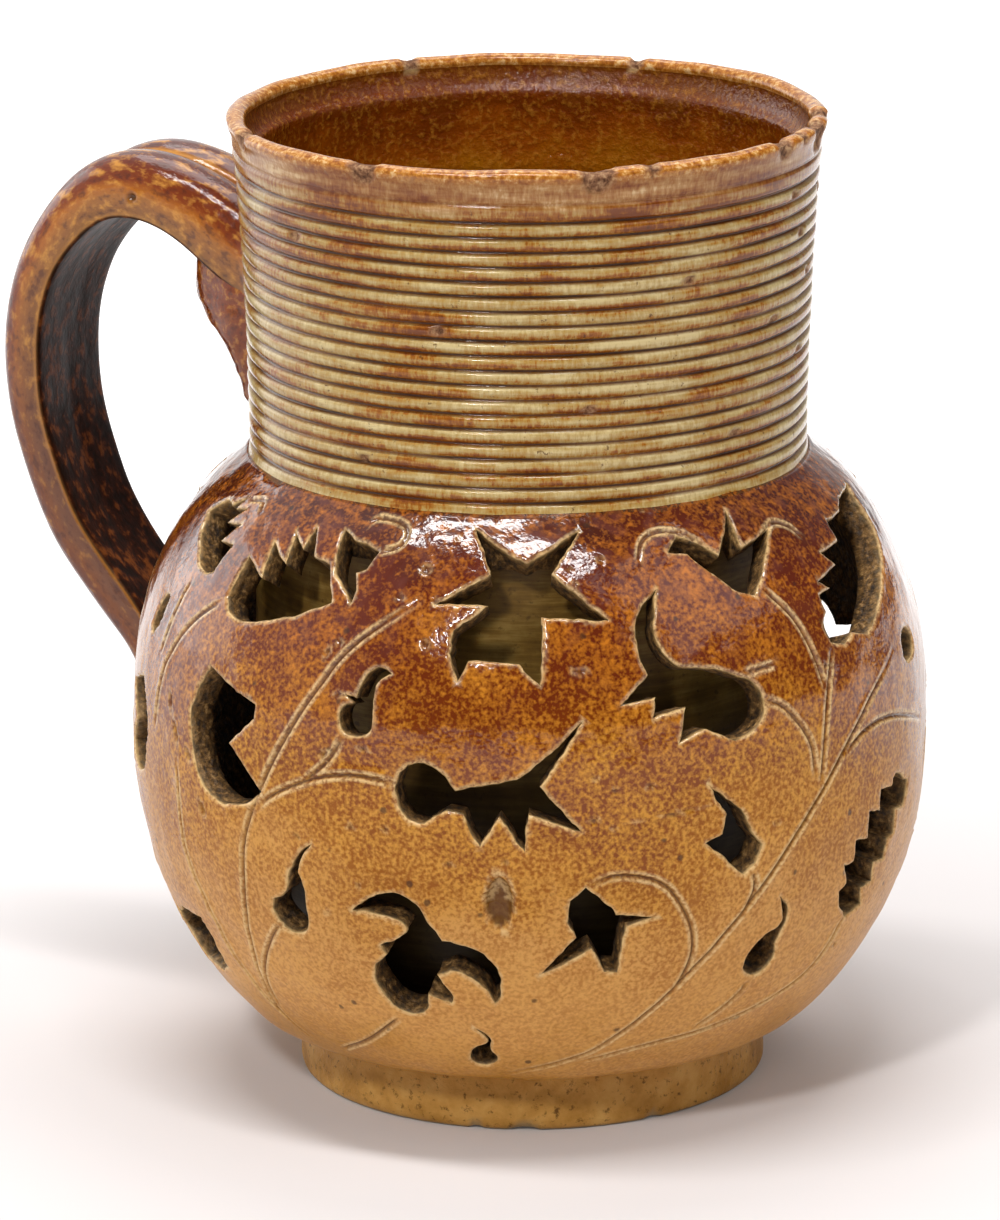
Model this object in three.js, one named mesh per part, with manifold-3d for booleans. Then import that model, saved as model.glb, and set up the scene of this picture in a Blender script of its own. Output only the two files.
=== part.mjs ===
// Brown salt-glazed stoneware jug with a double wall: a plain drinking vessel with a reeded
// neck stands inside a round outer wall that is cut through with flowers, leaves and buds.
// Millimetres, +Z up. The origin is the centre of the foot's flat underside, and the
// handle points along -X.
import * as THREE from 'three';
import { mergeVertices } from 'three/addons/utils/BufferGeometryUtils.js';
import Module from 'manifold-3d';

// Overall sizes
const jugHeight = 105;
const clearance = 0.3; // luting gap between neighbouring curved faces

// Foot
const footRadius = 25;
const footHeight = 7;
const footBevel = 0.7;

// Outer wall
const bellyRadius = 42.55; // greatest radius
const bellyLevel = 39.3; // height of the greatest radius
const shoulderSpan = 36.8; // belly line to the height where the shoulder curve would close
const shoulderPower = 2.42;
const undersideSpan = 41.9; // belly line to the depth where the lower curve would close
const undersidePower = 2.21;
const shellWall = 3;
const shellFloor = 3;
const shellHeel = 1; // turned edge that overhangs the foot

// Drinking vessel
const neckRadius = 29.8; // narrowest point, just above the outer wall
const neckFlare = 1.7; // how much the neck opens towards the lip
const lipRadius = 31.85;
const lipThickness = 2.2;
const lipHeight = 1;
const neckWall = 2.6;
const ledgeWidth = 0.35; // how far the outer wall's top edge stands out from the neck
const linerStep = 0.5; // the vessel is this much slimmer below the neck
const linerHeelRadius = 25;
const linerHeelHeight = 8;
const linerFloor = 3.5;

// Reeded neck
const reedPitch = 1.56;
const reedGroove = 0.5; // width of one groove
const reedDepth = 0.4;
const plainBand = 5.6; // smooth stretch between the last groove and the lip

// Strap handle
const handleReach = 61.1; // axis of the jug to the middle of the strap
const archHeight = 93.1; // middle of the strap at the top of its arch
const strapTopWidth = 15;
const strapEndWidth = 10.8;
const strapRootThickness = 8.4; // at the neck
const strapArchThickness = 7;
const strapThickness = 5.6;
const strapTailThickness = 2.4;
const upperJointDrop = 7.2; // the strap meets the neck this far below its arch
const lowerJointLevel = 42.4;
const tailLength = 12.5; // pressed end that runs down the outer wall

// Clay wad under the upper joint
const wadWidth = 14.4;
const wadCentre = 29; // the wad's sections are drawn about a point this far from the axis
const wadHeadroom = 9; // how far up the strap's lower face trims the wad
// each row is the distance below the upper joint and how far the wad stands out there
const wadRows = [
  [15.3, 3.4], [14.2, 4.3], [11.4, 4.8], [8.7, 5.4], [6.1, 7.2], [4.6, 9.3], [2.2, 10.4],
  [0, 10.6], [-5.1, 10.6],
];

// Facets
const shellSegments = 42;
const vesselSegments = 30;

const radians = THREE.MathUtils.degToRad;

// Curves that several pieces share

// Radius of a belly curve that is the given wall thickness inside the outer surface.
function bellyCurve(level, inset = 0) {
  const above = level >= bellyLevel;
  const span = (above ? shoulderSpan : undersideSpan) - 0.87 * inset;
  const power = above ? shoulderPower : undersidePower;
  const rise = Math.min(1, Math.abs(level - bellyLevel) / span);
  return (bellyRadius - inset) * (1 - rise ** power) ** (1 / power);
}

// Height at which the shoulder curve narrows to a radius.
function shoulderLevel(radius, inset = 0) {
  const share = radius / (bellyRadius - inset);
  const rise = (1 - share ** shoulderPower) ** (1 / shoulderPower);
  return bellyLevel + (shoulderSpan - 0.87 * inset) * rise;
}

const seatLevel = shoulderLevel(neckRadius + ledgeWidth); // the outer wall ends here
const vesselBase = footHeight + shellFloor;
const linerRadius = neckRadius - linerStep;
const boreRadius = linerRadius + clearance;

// Radius over the reeds of the neck.
function neckCurve(level) {
  const rise = (level - seatLevel) / (jugHeight - seatLevel);
  return neckRadius + neckFlare * rise * rise;
}

// Solids and meshes

const wasm = await Module();
wasm.setup();

function toSolid(geometry) {
  const bare = geometry.clone();
  bare.deleteAttribute('normal');
  bare.deleteAttribute('uv');
  const merged = mergeVertices(bare, 1e-4);
  return new wasm.Manifold(new wasm.Mesh({
    numProp: 3,
    vertProperties: new Float32Array(merged.attributes.position.array),
    triVerts: new Uint32Array(merged.index.array),
  }));
}

function toGeometry(solid) {
  const mesh = solid.getMesh();
  const geometry = new THREE.BufferGeometry();
  geometry.setAttribute('position', new THREE.BufferAttribute(mesh.vertProperties, 3));
  geometry.setIndex(new THREE.BufferAttribute(mesh.triVerts, 1));
  geometry.computeVertexNormals();
  return geometry;
}

// Turned piece: a profile of [radius, height] pairs spun about the jug's axis.
function turn(profile, segments) {
  const points = profile.map(([radius, level]) => new THREE.Vector2(radius, level));
  const geometry = new THREE.LatheGeometry(points, segments);
  return geometry.rotateX(Math.PI / 2);
}

// Closed skin over rings of points that all have the same count.
function loft(rings, capTriangles) {
  const count = rings[0].length;
  const corners = rings.flat().flatMap((point) => [point.x, point.y, point.z]);
  const faces = [];
  for (let ring = 0; ring < rings.length - 1; ring += 1) {
    for (let side = 0; side < count; side += 1) {
      const a = ring * count + side;
      const b = ring * count + ((side + 1) % count);
      faces.push(a, b, b + count, a, b + count, a + count);
    }
  }
  const last = (rings.length - 1) * count;
  for (const [a, b, c] of capTriangles) {
    faces.push(c, b, a, last + a, last + b, last + c);
  }
  const geometry = new THREE.BufferGeometry();
  geometry.setAttribute('position', new THREE.Float32BufferAttribute(corners, 3));
  geometry.setIndex(faces);
  return geometry;
}

function addPiece(group, name, geometry, colour, roughness) {
  const material = new THREE.MeshStandardMaterial({ color: colour, roughness, metalness: 0 });
  const mesh = new THREE.Mesh(geometry, material);
  mesh.name = name;
  group.add(mesh);
}

// Cut pattern. Each outline is in millimetres on the wall, x to the right and y up
// along the wall, as seen from outside, with its middle at 0, 0.

function knifeCut(corners) {
  return new THREE.Shape(corners.map(([x, y]) => new THREE.Vector2(x, y)));
}

function starFlower() {
  return knifeCut([
    [-5.7, 8.8], [-0.4, 5], [0.7, 4.6], [7, 8.3], [3.4, 3.2], [9, -2.1], [2.3, -1.6],
    [2, -8.7], [0, -6.4], [-4.9, -6.1], [-5.8, -8.3], [-6.7, -5.4], [-6.5, -3],
    [-3.2, -0.2], [-9, -0.4], [-3.2, 3.2],
  ]);
}

function toothedFlower() {
  const shape = knifeCut([
    [-7, -4.2], [-6.5, 0.6], [-3.2, -1], [-4.1, 3.1], [-0.7, 1], [-1.8, 4.9], [0.6, 3.1],
    [0.8, 6], [2.5, 2.6], [5.1, 2.1], [6.8, -2],
  ]);
  shape.quadraticCurveTo(3, -4.4, 0.4, -5);
  shape.quadraticCurveTo(-5.4, -7.4, -7, -4.2);
  return shape;
}

function smallLeaf() {
  return knifeCut([
    [-2.7, 4.1], [-0.8, 3.1], [1, 3], [2.7, 2.1], [0.9, -0.6], [1.5, -2.5], [1.4, -4.1],
    [-1.6, -0.8], [-2.5, 1],
  ]);
}

function hollyLeaf() {
  const shape = knifeCut([[-6, 2], [-3.2, 7], [4.8, 4.4], [4.8, 2.9], [1.3, -0.3], [6.1, -4.6]]);
  shape.quadraticCurveTo(4, -7, 0.5, -7.1);
  shape.quadraticCurveTo(-5.6, -7, -6, 2);
  return shape;
}

// Round bud with a tail that hooks over to the right.
function roundBud() {
  return knifeCut([
    [-0.9, -1.8], [-2.7, -2], [-2.4, -3], [-0.8, -3.4], [0.2, -2.3], [0.6, 1.1], [1.3, 2],
    [2.7, 2.6], [2.5, 3.2], [1, 3.4], [-0.4, -0.1],
  ]);
}

// Bud with a long thin tail that leans to the right.
function slimBud() {
  return knifeCut([
    [-2.8, -1.9], [-3, -4.2], [-1.6, -5.1], [1, -4.7], [1.5, -2.1], [1.5, 0.8], [0.9, 2.2],
    [3, 5.3], [0.5, 3.4], [-0.3, 1.8], [-0.8, -0.8],
  ]);
}

// Bud whose tail rises on the right and curls back over it.
function curlBud() {
  return knifeCut([
    [0.7, 4.8], [1.8, 3.2], [2.4, 1.5], [1.6, -1.4], [2.1, -3.5], [0.5, -4.8], [-1.3, -4.5],
    [-2.4, -3.1], [-1.1, 0.2], [1.6, 1], [1.5, 2.8],
  ]);
}

function splitBud() {
  return knifeCut([
    [-3.4, 5.4], [0.7, 2], [2, -0.5], [3.3, -2.2], [2.5, -4.2], [1.2, -5.3], [-0.7, -3.6],
    [-3.4, -1.1], [-1.6, -0.3], [-1.2, 1.8], [-2.6, 3.9],
  ]);
}

function rayFlower() {
  const shape = new THREE.Shape();
  shape.moveTo(-3.3, -0.4);
  shape.quadraticCurveTo(-5.2, 2.4, -7.3, 2.2);
  shape.quadraticCurveTo(-9.9, 1.6, -9.8, -0.8);
  shape.quadraticCurveTo(-9.2, -4.4, -6.6, -4.2);
  for (const [x, y] of [
    [-4.3, -2.8], [-2.6, -3.1], [-0.8, -6.4], [1.2, -3.3], [3.8, -6.8], [4.3, -3], [9.5, -4.7],
    [5.4, 0.1], [7.4, 2.6], [9.9, 6.8], [6, 3.1], [3, 0.9],
  ]) {
    shape.lineTo(x, y);
  }
  return shape;
}

function hornFlower() {
  const shape = knifeCut([[-2.3, 8.4]]);
  shape.quadraticCurveTo(-7.4, 5.4, -4.8, -0.4);
  for (const [x, y] of [
    [-7.9, -3.4], [-4.1, -2.7], [-4.6, -4.9], [-1, -4.1], [-2, -7.8], [0.8, -6.6], [4.2, -8.3],
    [7.2, -6.9], [7.8, -4], [5.6, -1.8], [2.7, -0.5], [-1.3, 0.1], [-2.8, 1.6], [-3.6, 4.2],
  ]) {
    shape.lineTo(x, y);
  }
  return shape;
}

function spikyFlower() {
  return knifeCut([
    [-6.2, 1.2], [-4.6, 2.9], [-2.7, 2.1], [-0.6, -0.1], [3.5, 5.1], [2.6, 0.3], [7.6, 1.7],
    [4.5, -2], [1.9, -5.1], [-0.6, -3.9], [-4.2, 0.6],
  ]);
}

// Half leaf with saw teeth on its upper edge and a plain curve below.
function sawLeaf(length, width, teeth) {
  const shape = new THREE.Shape();
  shape.moveTo(-length / 2, 0);
  for (let tooth = 0; tooth < teeth; tooth += 1) {
    const share = (tooth + 0.5) / teeth;
    const rise = 0.55 * width * Math.sin(Math.PI * share) + 0.6;
    shape.lineTo(length * (share - 0.5), rise);
    shape.lineTo(length * (share - 0.5 + 0.35 / teeth), 0.35 * rise);
  }
  shape.lineTo(length / 2, 0.4);
  shape.quadraticCurveTo(0, -width, -length / 2, 0);
  return shape;
}

// Leaf with torn teeth on its left edge, up on the shoulder.
function tornLeaf() {
  return knifeCut([
    [11.2, 6.9], [5, 7], [2.5, 5.8], [-1.8, 5.9], [-2.6, 3.3], [-7, 3.1], [-5.2, 1.2],
    [-9.5, 0.3], [-7.9, -0.8], [-10.1, -1.1], [-10, -3], [-11.2, -4.4], [-10.6, -6.3],
    [-8.7, -7], [-6.9, -6], [-4.2, -7], [-1.5, -5.6], [1.4, -3.6], [5.7, -0.7], [9.4, 4],
  ]);
}

// Leaf that is stepped like a saw on both edges.
function stepLeaf() {
  return knifeCut([
    [2.8, 7.4], [1.9, 6.1], [-0.8, 6.5], [-0.7, 4.1], [-2.9, 4.5], [-2.8, 1.6], [-5, 1.8],
    [-4.8, -0.6], [-6.5, -0.5], [-5.6, -2.9], [-6.7, -3.6], [-5.8, -5.8], [-3.8, -7.4],
    [-1, -6.6], [-1.9, -4.5], [0.6, -4.4], [-0.1, -2], [2.3, -2.2], [2.3, 0.1], [3.9, 0.3],
    [3.5, 3], [6.1, 2.9], [6.7, 5.6],
  ]);
}

// Short leaf with two notches at its left end.
function notchedLeaf() {
  return knifeCut([
    [5.4, -2.8], [5.6, 1.4], [4.3, 3.5], [-0.7, 3.5], [-2.4, 2.2], [-4.4, 3.4], [-4.6, 0.6],
    [-6.4, -0.8], [-3.6, -2.2], [-3.2, -4], [2.6, -4],
  ]);
}

function birdFootFlower() {
  return knifeCut([
    [-3.1, 3.8], [-1.5, 5.3], [1.2, 2.8], [1.7, 1.8], [6.2, 1.3], [2.9, 0.4], [2.6, -1.8],
    [2.3, -5.3], [0.8, -5.1], [-0.7, -2], [-6.2, -5.3], [-2.4, -0.6], [-3.4, 1.2],
  ]);
}

function curledFlower() {
  return knifeCut([
    [-7.6, 5.2], [-4.1, 7.7], [-0.7, 6.8], [0.9, 3.9], [1.7, 2.5], [5.1, 1.6], [7.2, -0.5],
    [7.6, -3], [6.9, -5.4], [4.9, -2.3], [2.9, -1.4], [0.9, -1.9], [2.3, -4.8], [2, -5.7],
    [-0.5, -4.6], [-0.6, -6.1], [-1.6, -7.7], [-3.1, -7.7], [-5, -6.8], [-6.3, -3.6],
    [-5.9, -1.1], [-1.9, 3.6], [-3.1, 4.8], [-5.9, 5.2],
  ]);
}

function ovalCut(width, height) {
  const shape = new THREE.Shape();
  shape.absellipse(0, 0, width / 2, height / 2, 0, 2 * Math.PI);
  return shape;
}

// Where each cut stands: degrees round the wall from the middle of the front, counted to the
// right, then millimetres along the wall above the belly line, then turn and size.
const cuts = [
  // shoulder row
  { shape: toothedFlower(), at: [-66.8, 26], flip: true, size: 0.72, turned: -20 },
  { shape: toothedFlower(), at: [-43.5, 23.6] },
  { shape: smallLeaf(), at: [-31.5, 25.8] },
  { shape: starFlower(), at: [-1.6, 23] },
  { shape: spikyFlower(), at: [35, 26.6] },
  { shape: tornLeaf(), at: [66.4, 20.9] },
  { shape: toothedFlower(), at: [101, 23.6], flip: true },
  { shape: starFlower(), at: [132, 22.6], turned: 34, size: 0.94 },
  { shape: spikyFlower(), at: [163, 25], flip: true },
  { shape: toothedFlower(), at: [192, 23.4] },
  { shape: starFlower(), at: [224, 22.8], flip: true, size: 0.96 },
  { shape: spikyFlower(), at: [258, 24.6] },
  // belly row
  { shape: ovalCut(2.2, 5.4), at: [-73.8, 14.3], turned: -28 },
  { shape: hollyLeaf(), at: [-49.4, 5.1] },
  { shape: roundBud(), at: [-24.2, 12.1] },
  { shape: rayFlower(), at: [-6, 3.9] },
  { shape: hornFlower(), at: [24, 15.4] },
  { shape: splitBud(), at: [29.8, -2.3] },
  { shape: ovalCut(4.4, 3.6), at: [72.9, 10.5] },
  { shape: splitBud(), at: [92, 3.5], flip: true },
  { shape: rayFlower(), at: [117, 4], flip: true },
  { shape: roundBud(), at: [138, 7], flip: true },
  { shape: hollyLeaf(), at: [156, 5], flip: true },
  { shape: hornFlower(), at: [184, 3.6], turned: 14 },
  { shape: splitBud(), at: [207, 5.4] },
  { shape: roundBud(), at: [263, 9], flip: true },
  { shape: hollyLeaf(), at: [281, 1.5], flip: true, size: 0.8 },
  // lower row
  { shape: stepLeaf(), at: [60.9, -9.3] },
  { shape: birdFootFlower(), at: [9.7, -12.3] },
  { shape: curlBud(), at: [37.4, -15.8] },
  { shape: curledFlower(), at: [-15.5, -16] },
  { shape: slimBud(), at: [-36.4, -9.4] },
  { shape: curlBud(), at: [-9.4, -28.9], size: 0.72, turned: 12 },
  { shape: notchedLeaf(), at: [-69, -21.5] },
  { shape: birdFootFlower(), at: [89, -13], flip: true },
  { shape: curledFlower(), at: [115, -15.6], flip: true },
  { shape: slimBud(), at: [137, -11] },
  { shape: sawLeaf(15, 5.6, 5), at: [160, -13], turned: 32, flip: true },
  { shape: birdFootFlower(), at: [184, -14.6] },
  { shape: curledFlower(), at: [208, -15] },
  { shape: slimBud(), at: [263, -12.5], flip: true },
];
const thumbedPit = { shape: ovalCut(2.5, 5.6), at: [-4.5, -8.6] };
const thumbedPitDepth = 1.3;

const frontAzimuth = -60; // middle of the front, with the handle at 180

// Levels of the outer wall by distance along it from the belly line.
const meridian = [];
for (let step = 0; step <= 400; step += 1) {
  const level = footHeight + ((seatLevel - footHeight) * step) / 400;
  const radius = bellyCurve(level);
  const before = meridian.at(-1);
  const walked = before ? before.walked + Math.hypot(radius - before.radius, level - before.level) : 0;
  meridian.push({ level, radius, walked });
}
const bellyWalk = meridian.find((row) => row.level >= bellyLevel).walked;

// The pattern was drawn on a wall of this girth and these lengths above and below the belly
// line, and it stretches or closes up with the wall.
const drawn = { radius: 42.55, above: 32.9, below: 36.2 };
const girthStretch = bellyRadius / drawn.radius;
const upperStretch = (meridian.at(-1).walked - bellyWalk) / drawn.above;
const lowerStretch = bellyWalk / drawn.below;

function levelAlong(drawnDistance) {
  const distance = drawnDistance * (drawnDistance > 0 ? upperStretch : lowerStretch);
  const next = meridian.findIndex((row) => row.walked - bellyWalk >= distance);
  if (next <= 0) {
    return next === 0 ? footHeight : seatLevel;
  }
  const [low, high] = [meridian[next - 1], meridian[next]];
  const share = (distance + bellyWalk - low.walked) / (high.walked - low.walked);
  return low.level + share * (high.level - low.level);
}

// Point at a depth below the outer surface, square to the wall.
function underWall(azimuth, level, depth) {
  const slope = (bellyCurve(level + 0.01) - bellyCurve(level - 0.01)) / 0.02;
  const length = Math.hypot(1, slope);
  const radius = bellyCurve(level) - depth / length;
  return new THREE.Vector3(
    radius * Math.cos(azimuth),
    radius * Math.sin(azimuth),
    level + (depth * slope) / length,
  );
}

// Closed cutter whose sides stand square to the wall, from outside it down to a depth.
function wallCutter({ shape, at, turned = 0, size = 1, flip = false }, depth) {
  const [degrees, distance] = at;
  const centreRadius = bellyCurve(levelAlong(distance));
  const rotation = radians(turned);
  let outline = shape.extractPoints(2).shape.map((point) => {
    const spun = point.clone().multiplyScalar(size);
    spun.x *= flip ? -1 : 1;
    return spun.rotateAround(new THREE.Vector2(), rotation);
  });
  outline = outline.filter((point, i) => point.distanceTo(outline.at(i - 1)) > 0.05);
  if (THREE.ShapeUtils.isClockWise(outline)) {
    outline.reverse();
  }
  const rings = [depth, -2.5].map((below) => outline.map((point) => {
    const azimuth = radians(frontAzimuth + degrees) + (girthStretch * point.x) / centreRadius;
    return underWall(azimuth, levelAlong(distance + point.y), below);
  }));
  return toSolid(loft(rings, THREE.ShapeUtils.triangulateShape(outline, [])));
}

// Outer wall: a closed bowl that is waisted in to the vessel at its top

function outerWall() {
  const profile = [[0, footHeight], [bellyCurve(footHeight + shellHeel) - 1.2, footHeight]];
  const rows = 11;
  for (let row = 0; row <= rows; row += 1) {
    const share = row / rows;
    // rows crowd towards the shoulder, where the curve is tight
    const eased = Math.sin((share * Math.PI) / 2) * 0.35 + share * 0.65;
    const level = footHeight + shellHeel + (seatLevel - footHeight - shellHeel) * eased;
    profile.push([bellyCurve(level), level]);
  }
  profile.push([boreRadius, seatLevel]);
  const innerTop = shoulderLevel(boreRadius, shellWall);
  const innerRows = 5;
  for (let row = 0; row <= innerRows; row += 1) {
    const level = innerTop + ((vesselBase - innerTop) * row) / innerRows;
    profile.push([bellyCurve(level, shellWall), level]);
  }
  profile.push([0, vesselBase]);
  let wall = toSolid(turn(profile, shellSegments));
  for (const cut of cuts) {
    wall = wall.subtract(wallCutter(cut, shellWall + 1.6));
  }
  return wall.subtract(wallCutter(thumbedPit, thumbedPitDepth));
}

// Drinking vessel: plain cylinder below, reeds and a flared lip above

function drinkingVessel() {
  const profile = [[0, vesselBase], [linerHeelRadius - 1, vesselBase]];
  const heel = new THREE.QuadraticBezierCurve(
    new THREE.Vector2(linerHeelRadius, vesselBase + 0.3),
    new THREE.Vector2(linerRadius - 0.2, vesselBase + 2),
    new THREE.Vector2(linerRadius, vesselBase + linerHeelHeight),
  );
  profile.push(...heel.getPoints(3).map((point) => [point.x, point.y]));
  profile.push([linerRadius, seatLevel]);
  const ledge = neckCurve(seatLevel) + 0.6 * ledgeWidth;
  profile.push([ledge, seatLevel], [ledge, seatLevel + 0.5]);

  // grooves from the bottom up, each a V between two rounded reeds
  const grooveTop = jugHeight - plainBand;
  const grooves = Math.floor((grooveTop - seatLevel - 1.2) / reedPitch);
  for (let groove = grooves; groove >= 0; groove -= 1) {
    const level = grooveTop - groove * reedPitch;
    profile.push([neckCurve(level - reedGroove / 2), level - reedGroove / 2]);
    profile.push([neckCurve(level) - reedDepth, level]);
    profile.push([neckCurve(level + reedGroove / 2), level + reedGroove / 2]);
  }
  // plain band, a fine line, and the rounded lip
  const line = jugHeight - 0.65 * plainBand;
  profile.push([neckCurve(line - 0.4), line - 0.4], [neckCurve(line) - 0.2, line]);
  profile.push([neckCurve(line) + 0.05, line + 0.4]);
  const lipMiddle = lipRadius - lipThickness / 2;
  for (let step = 0; step <= 5; step += 1) {
    const angle = (Math.PI * (step - 0.6)) / 4.4;
    profile.push([
      lipMiddle + (lipThickness / 2) * Math.cos(angle),
      jugHeight - lipHeight + lipHeight * Math.max(-0.6, Math.sin(angle)),
    ]);
  }
  // inside: a turned ridge below the lip, then a plain wall down to the floor
  const inner = linerRadius - neckWall;
  profile.push([lipRadius - lipThickness - 0.5, jugHeight - 3.2]);
  profile.push([lipRadius - lipThickness - 1, jugHeight - 3.8]);
  profile.push([neckCurve(jugHeight - 14) - neckWall, jugHeight - 14]);
  profile.push([neckRadius - neckWall, seatLevel + 8], [inner, seatLevel - 4]);
  profile.push([inner - 0.3, vesselBase + linerFloor + 6]);
  profile.push([inner - 1.6, vesselBase + linerFloor + 1.6]);
  profile.push([inner - 4, vesselBase + linerFloor], [0, vesselBase + linerFloor]);
  return turn(profile, vesselSegments);
}

// Foot: turned disc that the jug stands on

function turnedFoot() {
  return turn([
    [0, 0], [footRadius - footBevel, 0], [footRadius, footBevel], [footRadius + 0.1, footHeight / 2],
    [footRadius - 0.3, footHeight], [0, footHeight],
  ], shellSegments);
}

// Handle: pulled strap with two ridges on its back, lofted along its own middle line

const upperJointLevel = archHeight - upperJointDrop;
const tailLevel = lowerJointLevel - tailLength;

function strapLine() {
  const arch = neckCurve(archHeight);
  const reach = handleReach - arch;
  const drop = archHeight - lowerJointLevel;
  const wallAt = bellyCurve(lowerJointLevel);
  const landing = wallAt + strapTailThickness + 2;
  const tail = bellyCurve(tailLevel) + clearance + strapTailThickness / 2;
  const middleOut = landing - handleReach;
  return new THREE.CatmullRomCurve3([
    [arch - 2, upperJointLevel],
    [arch + 0.09 * reach, upperJointLevel + 2.1],
    [arch + 0.18 * reach, upperJointLevel + 4.1],
    [arch + 0.31 * reach, archHeight - 0.024 * drop],
    [arch + 0.44 * reach, archHeight - 0.002 * drop],
    [arch + 0.55 * reach, archHeight],
    [arch + 0.66 * reach, archHeight - 0.026 * drop],
    [arch + 0.77 * reach, archHeight - 0.092 * drop],
    [arch + 0.913 * reach, archHeight - 0.19 * drop],
    [arch + 0.985 * reach, archHeight - 0.31 * drop],
    [handleReach, archHeight - 0.41 * drop],
    [handleReach + 0.02 * middleOut, archHeight - 0.525 * drop],
    [handleReach + 0.13 * middleOut, archHeight - 0.636 * drop],
    [handleReach + 0.33 * middleOut, archHeight - 0.77 * drop],
    [handleReach + 0.64 * middleOut, archHeight - 0.885 * drop],
    [landing, lowerJointLevel],
    [landing - 1.9, lowerJointLevel - 0.4 * tailLength],
    [tail, tailLevel],
  ].map(([out, level]) => new THREE.Vector3(-out, 0, level)));
}

// Strap section, half widths across and half thicknesses out, ridged on the back.
const strapSection = [
  [1, 0.1], [0.86, 0.74], [0.5, 1], [0.14, 0.8], [0, 0.62], [-0.14, 0.8], [-0.5, 1],
  [-0.86, 0.74], [-1, 0.1], [-0.95, -0.88], [-0.6, -1], [0.6, -1], [0.95, -0.88],
];

// Grown on every side by one distance, and on its back by a further headroom, it trims the wad.
function strap(grown = 0, headroom = 0) {
  const line = strapLine();
  const stations = 25;
  const rings = [];
  for (let station = 0; station <= stations; station += 1) {
    const share = station / stations;
    const middle = line.getPointAt(share);
    const along = line.getTangentAt(share);
    const outward = new THREE.Vector3(along.z, 0, -along.x);
    const width = THREE.MathUtils.lerp(strapTopWidth, strapEndWidth, share) + 2 * grown;
    const root = 1 - THREE.MathUtils.smoothstep(share, 0, 0.15);
    const limb = THREE.MathUtils.smoothstep(share, 0.2, 0.4);
    const tail = THREE.MathUtils.smoothstep(share, 0.8, 1);
    const thickness = strapArchThickness + (strapRootThickness - strapArchThickness) * root
      + (strapThickness - strapArchThickness) * limb
      + (strapTailThickness - strapThickness) * tail + 2 * grown;
    rings.push(strapSection.map(([across, out]) => middle.clone()
      .add(outward.clone().multiplyScalar((out * thickness) / 2 + (out > 0 ? headroom : 0)))
      .add(new THREE.Vector3(0, (-across * width) / 2, 0))));
  }
  const flat = strapSection.map(([across, out]) => new THREE.Vector2(across, out));
  return toSolid(loft(rings, THREE.ShapeUtils.triangulateShape(flat, [])));
}

// The neck's and the wall's outsides with the luting gap, to trim what is pressed on them.
function neckTrim() {
  const rows = 10;
  const profile = [[0, seatLevel + 0.6]];
  for (let row = 0; row <= rows; row += 1) {
    const level = seatLevel + 0.6 + ((jugHeight - 2 - seatLevel) * row) / rows;
    profile.push([neckCurve(level) + clearance, level]);
  }
  profile.push([0, jugHeight - 1.4]);
  return toSolid(turn(profile, 2 * shellSegments));
}

function wallTrim() {
  const rows = 24;
  const profile = [[0, footHeight + 1]];
  for (let row = 0; row <= rows; row += 1) {
    const level = footHeight + 1 + ((seatLevel - footHeight - 1) * row) / rows;
    profile.push([bellyCurve(level) + clearance, level]);
  }
  profile.push([0, seatLevel]);
  return toSolid(turn(profile, 2 * shellSegments));
}

function handle() {
  return strap().subtract(neckTrim()).subtract(wallTrim());
}

// Wad of clay that fills the angle under the upper joint

function jointWad() {
  const corners = 12;
  const rings = wadRows.map(([below, reach]) => {
    const points = [];
    for (let corner = 0; corner < corners; corner += 1) {
      const angle = (2 * Math.PI * corner) / corners;
      const [along, across] = [-Math.cos(angle), -Math.sin(angle)];
      // a squared round, so that the wad has broad sides under the strap's edges
      const full = (Math.abs(along) ** 3 + Math.abs(across) ** 3) ** (-1 / 3);
      points.push(new THREE.Vector3(
        -wadCentre + along * full * reach,
        (across * full * wadWidth) / 2,
        upperJointLevel - below,
      ));
    }
    return points;
  });
  const flat = rings[0].map((point) => new THREE.Vector2(point.x, point.y));
  const block = toSolid(loft(rings, THREE.ShapeUtils.triangulateShape(flat, [])));
  const under = block.subtract(strap(clearance)).subtract(strap(clearance, wadHeadroom));
  return under.subtract(neckTrim());
}

// The jug

const jug = new THREE.Group();
addPiece(jug, 'foot', turnedFoot(), 0x9c7a45, 0.62);
addPiece(jug, 'pierced_wall', toGeometry(outerWall()), 0x9a5420, 0.38);
addPiece(jug, 'drinking_vessel', drinkingVessel(), 0xb98f55, 0.42);
addPiece(jug, 'handle', toGeometry(handle()), 0x6e3316, 0.36);
addPiece(jug, 'handle_wad', toGeometry(jointWad()), 0x8a4a1e, 0.45);

export default jug;
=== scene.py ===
import math
from functools import partial

import bpy
import numpy as np
from mathutils import Matrix, Vector
from mathutils.geometry import delaunay_2d_cdt


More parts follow.
